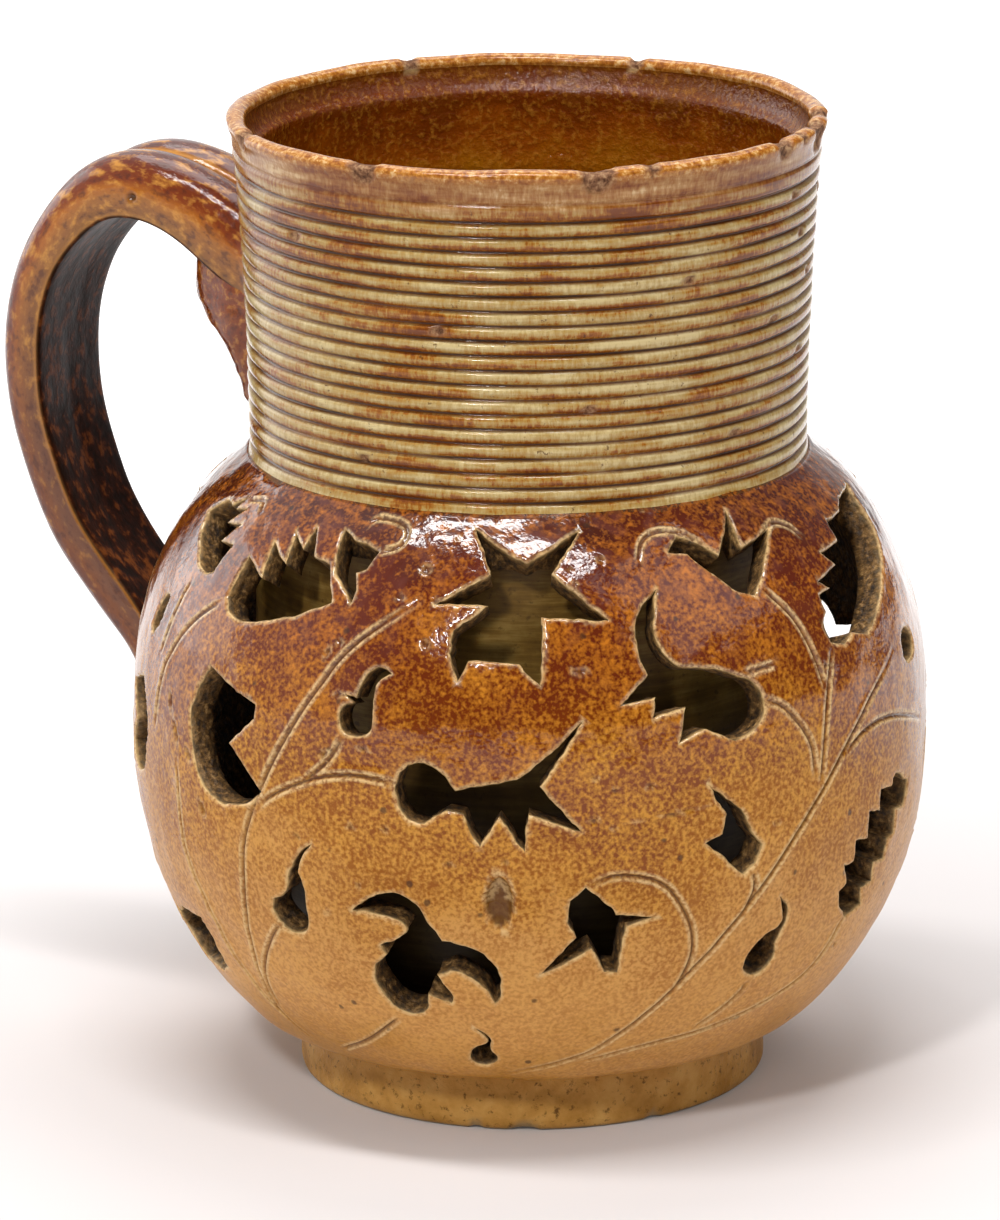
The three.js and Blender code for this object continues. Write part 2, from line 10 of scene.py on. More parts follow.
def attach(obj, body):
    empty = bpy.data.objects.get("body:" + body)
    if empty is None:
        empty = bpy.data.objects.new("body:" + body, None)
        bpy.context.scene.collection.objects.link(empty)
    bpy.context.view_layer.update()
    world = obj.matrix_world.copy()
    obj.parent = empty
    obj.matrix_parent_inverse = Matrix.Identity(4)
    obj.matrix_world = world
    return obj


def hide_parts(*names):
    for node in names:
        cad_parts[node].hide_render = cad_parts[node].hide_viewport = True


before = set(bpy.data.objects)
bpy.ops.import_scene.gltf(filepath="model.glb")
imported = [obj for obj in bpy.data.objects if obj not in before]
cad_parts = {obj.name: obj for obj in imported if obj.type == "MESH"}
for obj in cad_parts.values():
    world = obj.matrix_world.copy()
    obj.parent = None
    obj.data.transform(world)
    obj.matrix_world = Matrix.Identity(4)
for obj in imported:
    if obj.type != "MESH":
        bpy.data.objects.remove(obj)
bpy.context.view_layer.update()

# Double-walled salt-glazed stoneware jug. All shapes are worked out in millimetres and put
# into the meshes in metres. Z is up, the foot stands at 0 and the handle points along -X.
metre = 0.001  # one millimetre in metres
frontAzimuth = -60  # degrees, middle of the side that the pattern was drawn for


# small tools

def cornerValues(x, y, z, seed):
    # a fixed value from -1 to 1 for each whole-number corner, from mixed bits
    mixed = (x * 73856093) ^ (y * 19349663) ^ (z * 83492791) ^ (seed * 26544357)
    mixed = ((mixed ^ (mixed >> 13)) * 1274126177) & 0x7FFFFFFF
    mixed = ((mixed ^ (mixed >> 15)) * 668265263) & 0x7FFFFFFF
    return ((mixed >> 8) & 0xFFFF) / 32767.5 - 1


def unevenness(points, cell, seed):
    # value noise: the eight corner values round a point, eased by 3t^2 - 2t^3 between them
    scaled = points / cell
    base = np.floor(scaled).astype(np.int64)
    share = scaled - base
    share = share * share * (3 - 2 * share)
    total = np.zeros(scaled.shape[:-1])
    for corner in np.ndindex(2, 2, 2):
        weight = np.prod(np.where(np.array(corner) == 1, share, 1 - share), axis=-1)
        total += weight * cornerValues(*np.moveaxis(base + np.array(corner), -1, 0), seed)
    return total


def hump(distance, centre, width):
    # bell curve exp(-((d - centre) / width)^2)
    return np.exp(-(((distance - centre) / width) ** 2))


def easeBetween(value, low, high):
    # 0 below low, 1 above high, 3t^2 - 2t^3 between
    share = np.clip((value - low) / (high - low), 0, 1)
    return share * share * (3 - 2 * share)


def dent(across, up):
    # a round-bottomed hollow, (1 - e^2)^0.6 deep inside the ellipse and 0 outside
    return np.clip(1 - (across ** 2 + up ** 2), 0, 1) ** 0.6


def unitRows(vectors):
    # each row divided by its length
    return vectors / (np.linalg.norm(vectors, axis=1)[:, None] + 1e-9)


def throughKnots(knots, steps):
    # smooth line through the knots (Catmull-Rom), with steps points from each to the next
    ends = np.vstack([2 * knots[0] - knots[1], knots, 2 * knots[-1] - knots[-2]])
    share = np.linspace(0, 1, steps, endpoint=False)[None, :, None]
    a, b, c, d = (v[:, None, :] for v in (ends[:-3], ends[1:-2], ends[2:-1], ends[3:]))
    curve = 0.5 * (2 * b + (c - a) * share + (2 * a - 5 * b + 4 * c - d) * share ** 2
                   + (3 * b - a - 3 * c + d) * share ** 3)
    return np.vstack([curve.reshape(-1, 2), knots[-1]])


def walkLine(line, spread):
    # the points of a chain at the distances that spread gives for its whole length
    walked = np.concatenate([[0], np.cumsum(np.hypot(*np.diff(line, axis=0).T))])
    even = spread(walked[-1])
    return even, np.stack([np.interp(even, walked, line[:, k]) for k in (0, 1)], 1)


def around(radius, azimuth, level):
    # points (r cos a, r sin a, z)
    return np.stack(np.broadcast_arrays(
        radius * np.cos(azimuth), radius * np.sin(azimuth), level), -1)


def fan(ring, pole):
    # a triangle from each side of a ring to one point
    return np.stack([ring, np.roll(ring, -1), np.full(len(ring), pole)], 1)


def strip(upper, lower):
    # two triangles for each side between two rings of the same length
    nextUpper, nextLower = np.roll(upper, -1), np.roll(lower, -1)
    return np.concatenate([np.stack([upper, nextUpper, nextLower], 1),
                           np.stack([upper, nextLower, lower], 1)])


def closedShell(grid, poles):
    # rows of points that each close on themselves, with fans from the end rows to two poles
    rows, columns = grid.shape[:2]
    count, ring = rows * columns, np.arange(columns)
    start = np.repeat(np.arange(rows - 1) * columns, columns)
    a, b = start + np.tile(ring, rows - 1), start + np.tile(np.roll(ring, -1), rows - 1)
    faces = np.concatenate([np.stack([a, b, b + columns], 1),
                            np.stack([a, b + columns, a + columns], 1),
                            fan(ring, count)[:, ::-1], fan(count - columns + ring, count + 1)])
    return np.concatenate([grid.reshape(-1, 3), poles]), faces


def makePiece(name, points, faces, replaced, materials, marks, faceMaterials=None):
    # points in mm, triangles, and marks as named vertex values that are 0 where they run out
    mesh = bpy.data.meshes.new(name)
    count = len(faces)
    a, b, c = (points[faces[:, k]] for k in range(3))
    if np.einsum("ij,ij->", a, np.cross(b, c)) < 0:
        faces = faces[:, ::-1]
    mesh.vertices.add(len(points))
    mesh.vertices.foreach_set("co", (np.asarray(points, np.float32) * metre).ravel())
    mesh.loops.add(count * 3)
    mesh.loops.foreach_set("vertex_index", faces.astype(np.int32).ravel())
    mesh.polygons.add(count)
    mesh.polygons.foreach_set("loop_start", np.arange(0, count * 3, 3, dtype=np.int32))
    mesh.update(calc_edges=True)
    mesh.polygons.foreach_set("use_smooth", np.ones(count, bool))
    for markName, values in marks.items():
        layer = mesh.attributes.new(markName, "FLOAT", "POINT")
        values = np.pad(np.ravel(values), (0, len(points) - np.size(values)))
        layer.data.foreach_set("value", values.astype(np.float32))
    for material in materials:
        mesh.materials.append(material)
    if faceMaterials is not None:
        mesh.polygons.foreach_set("material_index", np.asarray(faceMaterials, np.int32))
    mesh.validate()
    piece = bpy.data.objects.new(name, mesh)
    bpy.context.scene.collection.objects.link(piece)
    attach(piece, "root")
    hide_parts(replaced)
    print(f"{name}: {len(points)} points, {count} triangles")
    return piece


# materials

def linearColour(hexCode):
    # sRGB hex to linear light
    parts = [int(hexCode[i:i + 2], 16) / 255 for i in (1, 3, 5)]
    return [c / 12.92 if c <= 0.04045 else ((c + 0.055) / 1.055) ** 2.4 for c in parts] + [1]


def addNode(tree, kind, inputs=None, stops=(), **settings):
    # one node with its settings; an input takes a value, a hex colour, a socket, or a node,
    # which stands for the first socket that it gives out
    node = tree.nodes.new("ShaderNode" + kind)
    for key, value in settings.items():
        setattr(node, key, value)
    elements = node.color_ramp.elements if stops else ()
    while len(elements) < len(stops):
        elements.new(0.5)
    for element, (place, colour) in zip(elements, stops):
        element.position = place
        element.color = linearColour(colour) if isinstance(colour, str) else [colour] * 3 + [1]
    for key, value in (inputs or {}).items():
        if isinstance(value, bpy.types.Node):
            value = next(socket for socket in value.outputs if socket.enabled)
        if isinstance(value, bpy.types.NodeSocket):
            tree.links.new(value, node.inputs[key])
        else:
            node.inputs[key].default_value = (
                linearColour(value) if isinstance(value, str) else value)
    return node


def newMaterial(name, marks, *patterns):
    # an empty material, what adds its nodes, the place and the level on the jug, then the
    # marks that it reads and one noise for each pattern: mm across, detail, roughness, stretch
    material = bpy.data.materials.new(name)
    material.use_nodes = True
    material.node_tree.nodes.clear()
    add = partial(addNode, material.node_tree)
    place = add("TexCoord").outputs["Object"]
    level = add("SeparateXYZ", {0: place}).outputs["Z"]
    read = [add("Attribute", attribute_name=mark).outputs["Fac"] for mark in marks.split()]
    for size, detail, roughness, *stretch in patterns:
        at = add("Mapping", {"Vector": place, "Scale": stretch[0]}) if stretch else place
        read.append(add("TexNoise", {"Vector": at, "Scale": 1000 / size, "Detail": detail,
                                     "Roughness": roughness}))
    return material, add, place, level, *read


def finish(add, colour, layers, reliefs, gloss):
    # each layer covers the colour under it by its share; a relief is height, depth in metres
    # and strength; the coat is the glaze that gathers over thick slip
    for share, over in layers:
        colour = add("Mix", {0: share, 6: colour, 7: over}, data_type="RGBA")
    shape = {}
    for height, depth, strength in reliefs:
        shape = {"Normal": add("Bump", {"Height": height, "Distance": depth,
                                        "Strength": strength, **shape})}
    if "Coat Weight" in gloss:
        gloss = {**gloss, "Coat Roughness": 0.1, "Coat IOR": 1.48, "Coat Normal": shape["Normal"]}
    shader = add("BsdfPrincipled", {"Base Color": colour, "IOR": 1.48, **shape, **gloss})
    add("OutputMaterial", {"Surface": shader})


def brownSaltGlaze():
    # Stoneware body dipped in brown slip and salt glazed: the salt vapour melts the skin to a wet
    # orange peel, and the slip breaks into gold and rust mottling. Thick on the shoulder, it is
    # deep red-brown and glassy; thin towards the foot, it is warm tan with little contrast.
    material, add, place, level, scored, bared, *noises = newMaterial(
        "salt glazed stoneware, brown slip", "scored bared", (17, 5, 0.6), (0.42, 1.5, 0.5),
        (1, 3, 0.6), (6, 2, 0.5), (2.6, 3, 0.55), (2.6, 1, 0.5))
    drift, fine, loose, wide, cloud, waves = noises
    wander = add("Math", {0: drift, 1: 0.034, 2: -0.017}, operation="MULTIPLY_ADD")
    share = add("MapRange", {0: add("Math", {0: level, 1: wander}), 1: 0.006, 2: 0.07})
    rust, gold, bar = (add("ValToRGB", {0: share}, stops) for stops in (
        [(0, "#AC7424"), (0.15, "#BF8542"), (0.32, "#B07434"), (0.46, "#985812"),
         (0.56, "#7E3C00"), (0.7, "#6C2A00"), (0.84, "#5C1C02"), (1, "#441808")],
        [(0, "#BE8632"), (0.15, "#D8A056"), (0.32, "#D49C54"), (0.46, "#CE923C"),
         (0.56, "#C88A2A"), (0.7, "#C27A1E"), (0.84, "#BC6C16"), (1, "#BC6C20")],
        [(0, 0.61), (0.35, 0.62), (0.5, 0.65), (0.75, 0.69), (1, 0.72)]))
    # mottling of 0.4 mm, gathered in millimetre clouds that open up on the shoulder
    opened = add("MapRange", {0: share, 1: 0.5, 2: 0.92, 3: 0.12, 4: 0.58})
    mixed = add("Mix", {0: opened, 2: fine, 3: loose})
    gathered = add("Math", {0: wide, 1: 0.3, 2: mixed}, operation="MULTIPLY_ADD")
    above = add("Math", {0: gathered, 1: bar}, operation="SUBTRACT")
    goldShare = add("MapRange", {0: above, 1: -0.12, 2: 0.15})
    # where the slip is thickest, mauve-brown patches (partly a bloom in the slip, partly painted
    # sheen) and round iron spots lie under the gloss
    bloomAndSheenClouds = add("MapRange", {0: cloud, 1: 0.52, 2: 0.62})
    bloomAndSheenHigh = add("MapRange", {0: share, 1: 0.7, 2: 0.92, 4: 0.5})
    bloomAndSheen = add("Math", {0: bloomAndSheenClouds, 1: bloomAndSheenHigh}, operation="MULTIPLY")
    crooked = add("Mix", {0: 0.0005, 4: place, 5: loose.outputs["Color"]}, data_type="VECTOR")
    pins = add("TexVoronoi", {"Vector": crooked, "Scale": 1000 / 4.6})
    pinShare = add("MapRange", {0: pins, 1: 0.1, 2: 0.06, 4: 0.75})
    # the slip runs off sharp clay, so burrs and cut edges fire pale and grooves half bare
    half = add("Math", {0: scored, 1: 0.85}, operation="MULTIPLY")
    dashed = add("MapRange", {0: fine, 1: 0.36, 2: 0.56, 3: 0.35})
    baredShare = add("Math", {0: bared, 1: dashed}, operation="MULTIPLY")
    coat = add("MapRange", {0: share, 1: 0.45, 2: 0.85, 4: 0.6})
    dull = add("MapRange", {0: share, 1: 0.2, 2: 0.8, 3: 0.36, 4: 0.13})
    # wet orange peel: soft 2.6 mm waves under a finer pebbling
    finish(add, rust, [(goldShare, gold), (bloomAndSheen, "#683428"), (pinShare, "#3E2415"),
                       (half, "#5A381A"), (baredShare, "#E2C088")],
           [(waves, 0.0003, 0.5), (fine, 0.0001, 0.25)],
           {"Roughness": dull, "Specular IOR Level": 0.2, "Coat Weight": coat})
    return material


def knifeCutClay():
    # Cut faces of the stoneware body, torn by the knife and barely glazed: dry, grey-brown,
    # gritty, and paler where the body breaks out at the edge.
    material, add, _, _, bared, grit, tearing = newMaterial(
        "knife cut stoneware body", "bared", (0.8, 4, 0.7), (0.55, 4, 0.5))
    tone = add("ValToRGB", {0: grit}, [
        (0.36, "#24170B"), (0.46, "#4E371A"), (0.56, "#78562B"), (0.67, "#A88350")])
    finish(add, tone, [(bared, "#C9A468")], [(tearing, 0.0004, 0.8)],
           {"Roughness": 0.62, "IOR": 1.5})
    return material


def neckSaltGlaze():
    # Cream stoneware under a thin brown wash that ran off the reeds and pooled in the grooves,
    # so olive-buff crests, amber stains and rust lines follow the throwing, with a fine
    # upright grain where the wash ran down. The streaks are six times as long round the neck
    # as they are high, and the runs are upright and 0.4 mm wide.
    material, add, _, level, stain, groove, lip, chip, clouds, specks, streaks, runs = newMaterial(
        "salt glazed stoneware, reeded neck", "stain groove lip chip", (14, 4, 0.6),
        (0.7, 3, 0.7), (1.5, 3, 0.6, (0.16, 0.16, 1)), (0.42, 3, 0.65, (1, 1, 0.3)))
    both = add("Mix", {0: 0.32, 2: streaks, 3: clouds})
    three = add("Mix", {0: 0.26, 2: both, 3: runs})
    lower = add("Math", {0: stain, 1: -0.09, 2: three}, operation="MULTIPLY_ADD")
    rise = add("MapRange", {0: level, 1: 0.084, 2: 0.101, 3: 0.008, 4: -0.03})
    tone = add("ValToRGB", {0: add("Math", {0: lower, 1: rise})}, [
        (0.36, "#74390A"), (0.42, "#9A5C14"), (0.46, "#AC8440"), (0.51, "#B3965C"),
        (0.59, "#CDB884")])
    speckShare = add("MapRange", {0: specks, 1: 0.64, 2: 0.71, 4: 0.8})
    rustShare = add("MapRange", {0: groove, 1: 0.12, 2: 0.75, 4: 0.85})
    darkShare = add("MapRange", {0: groove, 1: 0.55, 2: 1, 4: 0.9})
    # the smooth band under the lip took more slip and fired mauve-brown with cream breaks
    wide = add("Math", {0: streaks, 1: 0.004, 2: level}, operation="MULTIPLY_ADD")
    band = add("MapRange", {0: wide, 1: 0.1018, 2: 0.1034, 4: 0.9})
    bandTone = add("ValToRGB", {0: three}, [
        (0.4, "#743405"), (0.48, "#98602C"), (0.55, "#B3824E"), (0.62, "#D6B486")])
    # the lip itself is amber and rust breaking to cream
    lipTone = add("ValToRGB", {0: specks}, [
        (0.36, "#8A4A0C"), (0.48, "#B06C1F"), (0.56, "#C4883E"), (0.66, "#DDB57C")])
    chipTone = add("ValToRGB", {0: specks}, [
        (0.36, "#4A2A12"), (0.5, "#80573A"), (0.66, "#B08C66")])
    dry = add("MapRange", {0: chip, 3: 0.12, 4: 0.8})
    finish(add, tone, [(speckShare, "#54300F"), (rustShare, "#74390B"), (darkShare, "#2C1707"),
                       (band, bandTone), (lip, lipTone), (chip, chipTone)],
           [(runs, 0.0001, 0.3)], {"Roughness": dry, "Specular IOR Level": 0.36})
    return material


def insideGlaze():
    # Inside of the drinking vessel: thick iron-brown salt glaze, wet-looking, dark red-brown near
    # the rim and thinning to olive amber lower down, with a coarse orange peel.
    material, add, _, level, chip, clouds, beads = newMaterial(
        "salt glazed stoneware, inside", "chip", (7, 5, 0.65), (0.7, 3, 0.6))
    drift = add("Math", {0: clouds, 1: 0.02, 2: -0.01}, operation="MULTIPLY_ADD")
    share = add("MapRange", {0: add("Math", {0: level, 1: drift}), 1: 0.06, 2: 0.104})
    tone = add("ValToRGB", {0: share}, [
        (0, "#84580E"), (0.4, "#94600E"), (0.66, "#985E08"), (0.82, "#843E04"),
        (0.92, "#662A02"), (1, "#6E380A")])
    beadShare = add("MapRange", {0: beads, 1: 0.5, 2: 0.68, 4: 0.5})
    finish(add, tone, [(beadShare, "#B07424"), (chip, "#A98A5C")], [(beads, 0.0003, 0.7)],
           {"Roughness": 0.14, "Specular IOR Level": 0.28})
    return material


def linerClay():
    # Outside of the vessel behind the cuts: buff stoneware that the salt hardly reached. Olive
    # brown with turning lines near the top, and painted shade lower down that darkens it nearly
    # black, where little light gets into the closed space.
    material, add, _, level, clouds, specks, lines = newMaterial(
        "stoneware body, buff", "", (6, 5, 0.6), (0.7, 3, 0.5), (0.9, 4, 0.65, (0.08, 0.08, 1)))
    both = add("Mix", {0: 0.5, 2: lines, 3: clouds})
    tone = add("ValToRGB", {0: both}, [(0.36, "#5E4018"), (0.5, "#86642A"), (0.62, "#AC8A48")])
    speckShare = add("MapRange", {0: specks, 1: 0.62, 2: 0.72, 4: 0.6})
    # painted shade: below about 50 mm the liner is darkened nearly black, where little light gets
    # in through the cuts
    paintedShade = add("MapRange", {0: level, 1: 0.05, 2: 0.036, 4: 0.84})
    finish(add, tone, [(speckShare, "#4A3014"), (paintedShade, "#1E130A")], [(both, 0.0003, 0.6)],
           {"Roughness": 0.5, "Specular IOR Level": 0.28})
    return material


def darkSaltGlaze():
    # Handle: the thickest slip under a wet salt glaze. Dark red-brown breaking to gold over the
    # rolls of its back, dull mauve-brown low on its flanks, nearly black on the inner face, and
    # amber along every edge, partly where the glaze runs thin and partly a painted highlight.
    material, add, _, level, section, inner, edge, burr, pit, *strap = newMaterial(
        "salt glazed stoneware, dark slip",
        "section inner edge burr pit acrossStrap outOfStrap alongStrap")
    # the slip was wiped on along the strap: its patterns read the straightened strap, and are
    # longer down it than they are across
    drawn = add("Math", {0: strap[2], 1: 0.6}, operation="MULTIPLY")
    straight = add("CombineXYZ", {0: strap[0], 1: strap[1], 2: drawn})
    mottles, clouds = (
        add("TexNoise", {"Vector": straight, "Scale": 1000 / size, "Detail": detail,
                         "Roughness": roughness})
        for size, detail, roughness in ((1, 3, 0.58), (3, 5, 0.6)))
    # the slip is thinner, and so lighter, on the arch than down the limb
    arch = add("MapRange", {0: level, 1: 0.062, 2: 0.088})
    shaken = add("Math", {0: clouds, 1: 0.3, 2: -0.15}, operation="MULTIPLY_ADD")
    where = add("Math", {0: section, 1: shaken})
    limbTone, archTone = (add("ValToRGB", {0: where}, stops) for stops in (
        [(0.08, "#5E3010"), (0.3, "#6C3E20"), (0.52, "#7A4012"), (0.75, "#642804"),
         (1, "#4A1A02")],
        [(0.08, "#8C5A1C"), (0.24, "#8F5820"), (0.4, "#A0621A"), (0.54, "#A85E0C"),
         (0.66, "#7E3402"), (1, "#5A1C00")]))
    goldBar = add("MapRange", {0: arch, 3: 0.58, 4: 0.53})
    over = add("Math", {0: mottles, 1: goldBar}, operation="SUBTRACT")
    goldMost = add("MapRange", {0: arch, 3: 0.4, 4: 0.75})
    goldShare = add("MapRange", {0: over, 1: -0.02, 2: 0.16, 4: goldMost})
    darkShare = add("MapRange", {0: mottles, 1: 0.46, 2: 0.34, 4: 0.65})
    # the inner face, and torn clay along the pinched edge of the wad
    innerTone, burrTone = (add("ValToRGB", {0: mottles}, stops) for stops in (
        [(0.38, "#1C0B04"), (0.54, "#331507"), (0.66, "#6A3814")],
        [(0.4, "#2A160A"), (0.55, "#6B4320"), (0.66, "#B98A50")]))
    # amber along the edges: thin glaze, and partly a painted highlight line
    thinEdgeAndHighlight = add("Math", {0: edge, 1: 0.9}, operation="MULTIPLY")
    coat = add("MapRange", {0: inner, 3: 0.6, 4: 0})
    dull = add("MapRange", {0: inner, 3: 0.24, 4: 0.42})
    finish(add, limbTone, [(arch, archTone), (goldShare, "#D2923A"), (darkShare, "#451804"),
                           (inner, innerTone), (thinEdgeAndHighlight, "#C88A3C"), (burr, burrTone),
                           (pit, "#2A1A10")],
           [(mottles, 0.0003, 0.35)],
           {"Roughness": dull, "Specular IOR Level": 0.12, "Coat Weight": coat})
    return material


def footClay():
    # Foot: olive-buff stoneware with thin salt glaze, iron specks and raw clay in its chips.
    material, add, _, level, chip, clouds, specks = newMaterial(
        "salt glazed stoneware, foot", "chip", (5, 5, 0.62), (0.9, 4, 0.7))
    tone = add("ValToRGB", {0: clouds}, [
        (0.34, "#AE7C34"), (0.5, "#C8954A"), (0.64, "#D4A45A")])
    speckShare = add("MapRange", {0: specks, 1: 0.57, 2: 0.68, 4: 0.85})
    bare = add("MapRange", {0: level, 1: 0.0004, 2: 0.0001})
    finish(add, tone, [(speckShare, "#5A3812"), (bare, "#A98F66"), (chip, "#A88C60")],
           [(specks, 0.0003, 0.6)], {"Roughness": 0.45, "Specular IOR Level": 0.2})
    return material


# outer wall

wall = {
    "bellyRadius": 42.55, "bellyLevel": 39.3,
    "shoulderSpan": 36.8, "shoulderPower": 2.42,
    "undersideSpan": 41.9, "undersidePower": 2.21,
    "footLevel": 7.0, "floorLevel": 10.0, "footRim": 24.4, "heelRadius": 28.8,
    "neckRadius": 29.75, "neckLevel": 68.9, "shoulderEnd": 68.0,
    "thickness": 3.0,
    "seam": 241.0,  # degrees from the front, behind the handle and clear of every cut
    "edgeStep": 0.4,  # points along cuts and scored lines
    "openStep": 1.35,  # points on plain stretches
    "middleStep": 0.68,  # points near the cuts
    "liningStep": 3.2, "boundaryStep": 0.9, "nickStep": 0.25,
    "middleReach": 2.2,  # how far round the cuts the middling points go
    "liningEnds": (7.2, 5.2),  # from the sheet's low and high ends
    "calmEdge": 3,  # where the skin's unevenness fades towards those ends
    "rowsByCut": (0.2, 0.45, 0.8, 1.3), "rowsByStem": (0, 0.18, -0.18, 0.4, -0.4, 0.75, -0.75),
    "sideRows": (0.3, 1.1, 2.0),  # depths of the rows down the sides of a cut
    "cellsPerMm": 10, "spareCells": 40,  # the raster that keeps points apart
    "thumbedPit": (-4.5, -8.6, 1.5, 3.0, 1.2),  # place as for nicks, half sizes, depth
}


def bellyCurve(level):
    # r = R (1 - |(z - z0) / span|^p)^(1 / p), with a span and power for each side of z0
    above = level >= wall["bellyLevel"]
    span = np.where(above, wall["shoulderSpan"], wall["undersideSpan"])
    power = np.where(above, wall["shoulderPower"], wall["undersidePower"])
    rise = np.clip(np.abs(level - wall["bellyLevel"]) / span, 0, 1)
    return wall["bellyRadius"] * (1 - rise ** power) ** (1 / power)


def wallProfile():
    # from the foot joint out to the heel, up the belly and in to the neck, evenly 0.1 mm apart
    level = np.linspace(8.0, wall["shoulderEnd"], 900)
    heel, low = wall["heelRadius"], wall["footLevel"]
    even, line = walkLine(np.concatenate([
        [[wall["footRim"], low], [heel - 0.5, low], [heel, low + 0.08], [29.55, 7.42]],
        np.stack([bellyCurve(level), level], 1),
        [[30.35, 68.35], [29.98, 68.62], [wall["neckRadius"], wall["neckLevel"]]],
    ]), lambda length: np.arange(0, length, 0.1))
    smooth = np.hanning(9) / np.hanning(9).sum()
    radius, height = (np.convolve(np.pad(v, 4, "edge"), smooth, "valid") for v in line.T)
    slopeRadius, slopeHeight = np.gradient(radius), np.gradient(height)
    length = np.hypot(slopeRadius, slopeHeight)
    return {"along": even - np.interp(wall["bellyLevel"], height, even),
            "radius": radius, "level": height,
            "outRadius": slopeHeight / length, "outLevel": -slopeRadius / length}


profile = wallProfile()
alongLow, alongHigh = profile["along"][0], profile["along"][-1]
girth = 2 * math.pi * wall["bellyRadius"]


def wallPoints(flat, depth):
    # flat holds (distance round the belly from the seam, distance along the wall); the point
    # stands on the profile, turned about the axis and moved in by depth along the normal
    radius, level, outRadius, outLevel = (
        np.interp(flat[:, 1], profile["along"], profile[key])
        for key in ("radius", "level", "outRadius", "outLevel"))
    azimuth = np.radians(frontAzimuth + wall["seam"]) + flat[:, 0] / wall["bellyRadius"]
    return around(radius - depth * outRadius, azimuth, level - depth * outLevel)


def roundFromSeam(degrees):
    # degrees from the front to mm round the belly from the seam
    return ((np.asarray(degrees, float) - wall["seam"]) % 360) / 360 * girth


# Cut outlines in mm as seen from outside, middle at 0, 0. Two numbers are a straight cut to
# that point, four are a curve pulled towards the first pair.
starFlower = [
    (-5.7, 8.8), (-0.4, 5), (0.7, 4.6), (7, 8.3), (3.4, 3.2), (9, -2.1), (2.3, -1.6), (2, -8.7),
    (0, -6.4), (-4.9, -6.1), (-5.8, -8.3), (-6.7, -5.4), (-6.5, -3), (-3.2, -0.2), (-9, -0.4),
    (-3.2, 3.2), (-5.7, 8.8)]
toothedFlower = [
    (-7, -4.2), (-6.5, 0.6), (-3.2, -1), (-4.1, 3.1), (-0.7, 1), (-1.8, 4.9), (0.6, 3.1), (0.8, 6),
    (2.5, 2.6), (5.1, 2.1), (6.8, -2), (3, -4.4, 0.4, -5), (-5.4, -7.4, -7, -4.2)]
smallLeaf = [
    (-2.7, 4.1), (-0.8, 3.1), (1, 3), (2.7, 2.1), (1.9, -0.1), (0.9, -0.6), (1.5, -2.5),
    (1.4, -4.1), (-0.3, -2.1), (-1.6, -0.8), (-2.2, 0.9), (-2.7, 3.2), (-2.7, 4.1)]
hollyLeaf = [
    (-6, 2), (-3.2, 7), (4.8, 4.4), (4.8, 2.9), (1.3, -0.3), (6.1, -4.6), (4, -7, 0.5, -7.1),
    (-5.6, -7, -6, 2)]
splitBud = [
    (-3.4, 5.4), (0.7, 2), (2, -0.5), (3.3, -2.2), (2.5, -4.2), (1.2, -5.3), (-0.7, -3.6),
    (-3.4, -1.1), (-1.6, -0.3), (-1.2, 1.8), (-2.6, 3.9), (-3.4, 5.4)]
rayFlower = [
    (-3.3, -0.4), (-5.2, 2.4, -7.3, 2.2), (-9.9, 1.6, -9.8, -0.8), (-9.2, -4.4, -6.6, -4.2),
    (-4.3, -2.8), (-2.6, -3.1), (-0.8, -6.4), (1.2, -3.3), (3.8, -6.8), (4.3, -3), (9.5, -4.7),
    (5.4, 0.1), (7.4, 2.6), (9.9, 6.8), (6, 3.1), (3, 0.9), (-3.3, -0.4)]
hornFlower = [
    (-2.3, 8.4), (-7.4, 5.4, -4.8, -0.4), (-7.9, -3.4), (-4.1, -2.7), (-4.6, -4.9), (-1, -4.1),
    (-2, -7.8), (0.8, -6.6), (4.2, -8.3), (8.55, -7.65, 7.9, -4), (7.4, -2.4, 5.6, -1.8),
    (2.7, -0.5), (-0.6, -0.1, -1.3, 0.1), (-2.8, 1, -3.3, 3.4), (-3.6, 5.6, -2.3, 8.4)]
spikyFlower = [
    (-6.2, 1.2), (-4.6, 2.9), (-2.7, 2.1), (-0.6, -0.1), (3.5, 5.1), (2.6, 0.3), (7.6, 1.7),
    (4.5, -2), (1.9, -5.1), (-0.6, -3.9), (-4.2, 0.6), (-6.2, 1.2)]
birdFootFlower = [
    (-3.1, 3.8), (-1.5, 5.3), (1.2, 2.8), (1.7, 1.8), (6.2, 1.3), (2.9, 0.4), (2.6, -1.8),
    (2.3, -5.3), (0.8, -5.1), (-0.7, -2), (-6.2, -5.3), (-2.4, -0.6), (-3.4, 1.2), (-3.1, 3.8)]
curledFlower = [
    (-7.6, 5.2), (-4.05, 9.4, -0.7, 6.8), (1.3, 3.2, 1.7, 2.5), (5.75, 2.2, 7.2, -0.5),
    (8.35, -3.05, 6.9, -5.4), (5.2, -1.2, 2.3, -1.4), (0.9, -1.9), (2.3, -4.8), (2, -5.7),
    (-0.5, -4.6), (-0.6, -6.1), (-1.8, -9.35, -5, -6.8), (-7.15, -3.25, -5.9, -1.1), (-4.5, 0.3),
    (-4.9, 1.3), (-2.9, 2.5), (-1.9, 3.6), (-1.9, 5, -5.9, 5.2), (-7.6, 5.2)]
roundBud = [
    (1, -1.6), (1, -3.9, -0.9, -3.9), (-2.8, -3.9, -2.8, -2), (-2.7, -0.6, -1.2, -0.5), (-2.4, 0.3),
    (-1, 0.1), (-0.6, 2.6, 1.1, 3.5), (2, 3.6, 2.8, 2.9), (1.5, 2.6, 1.1, 1.6), (0.9, 0.4, 1, -1.6)]
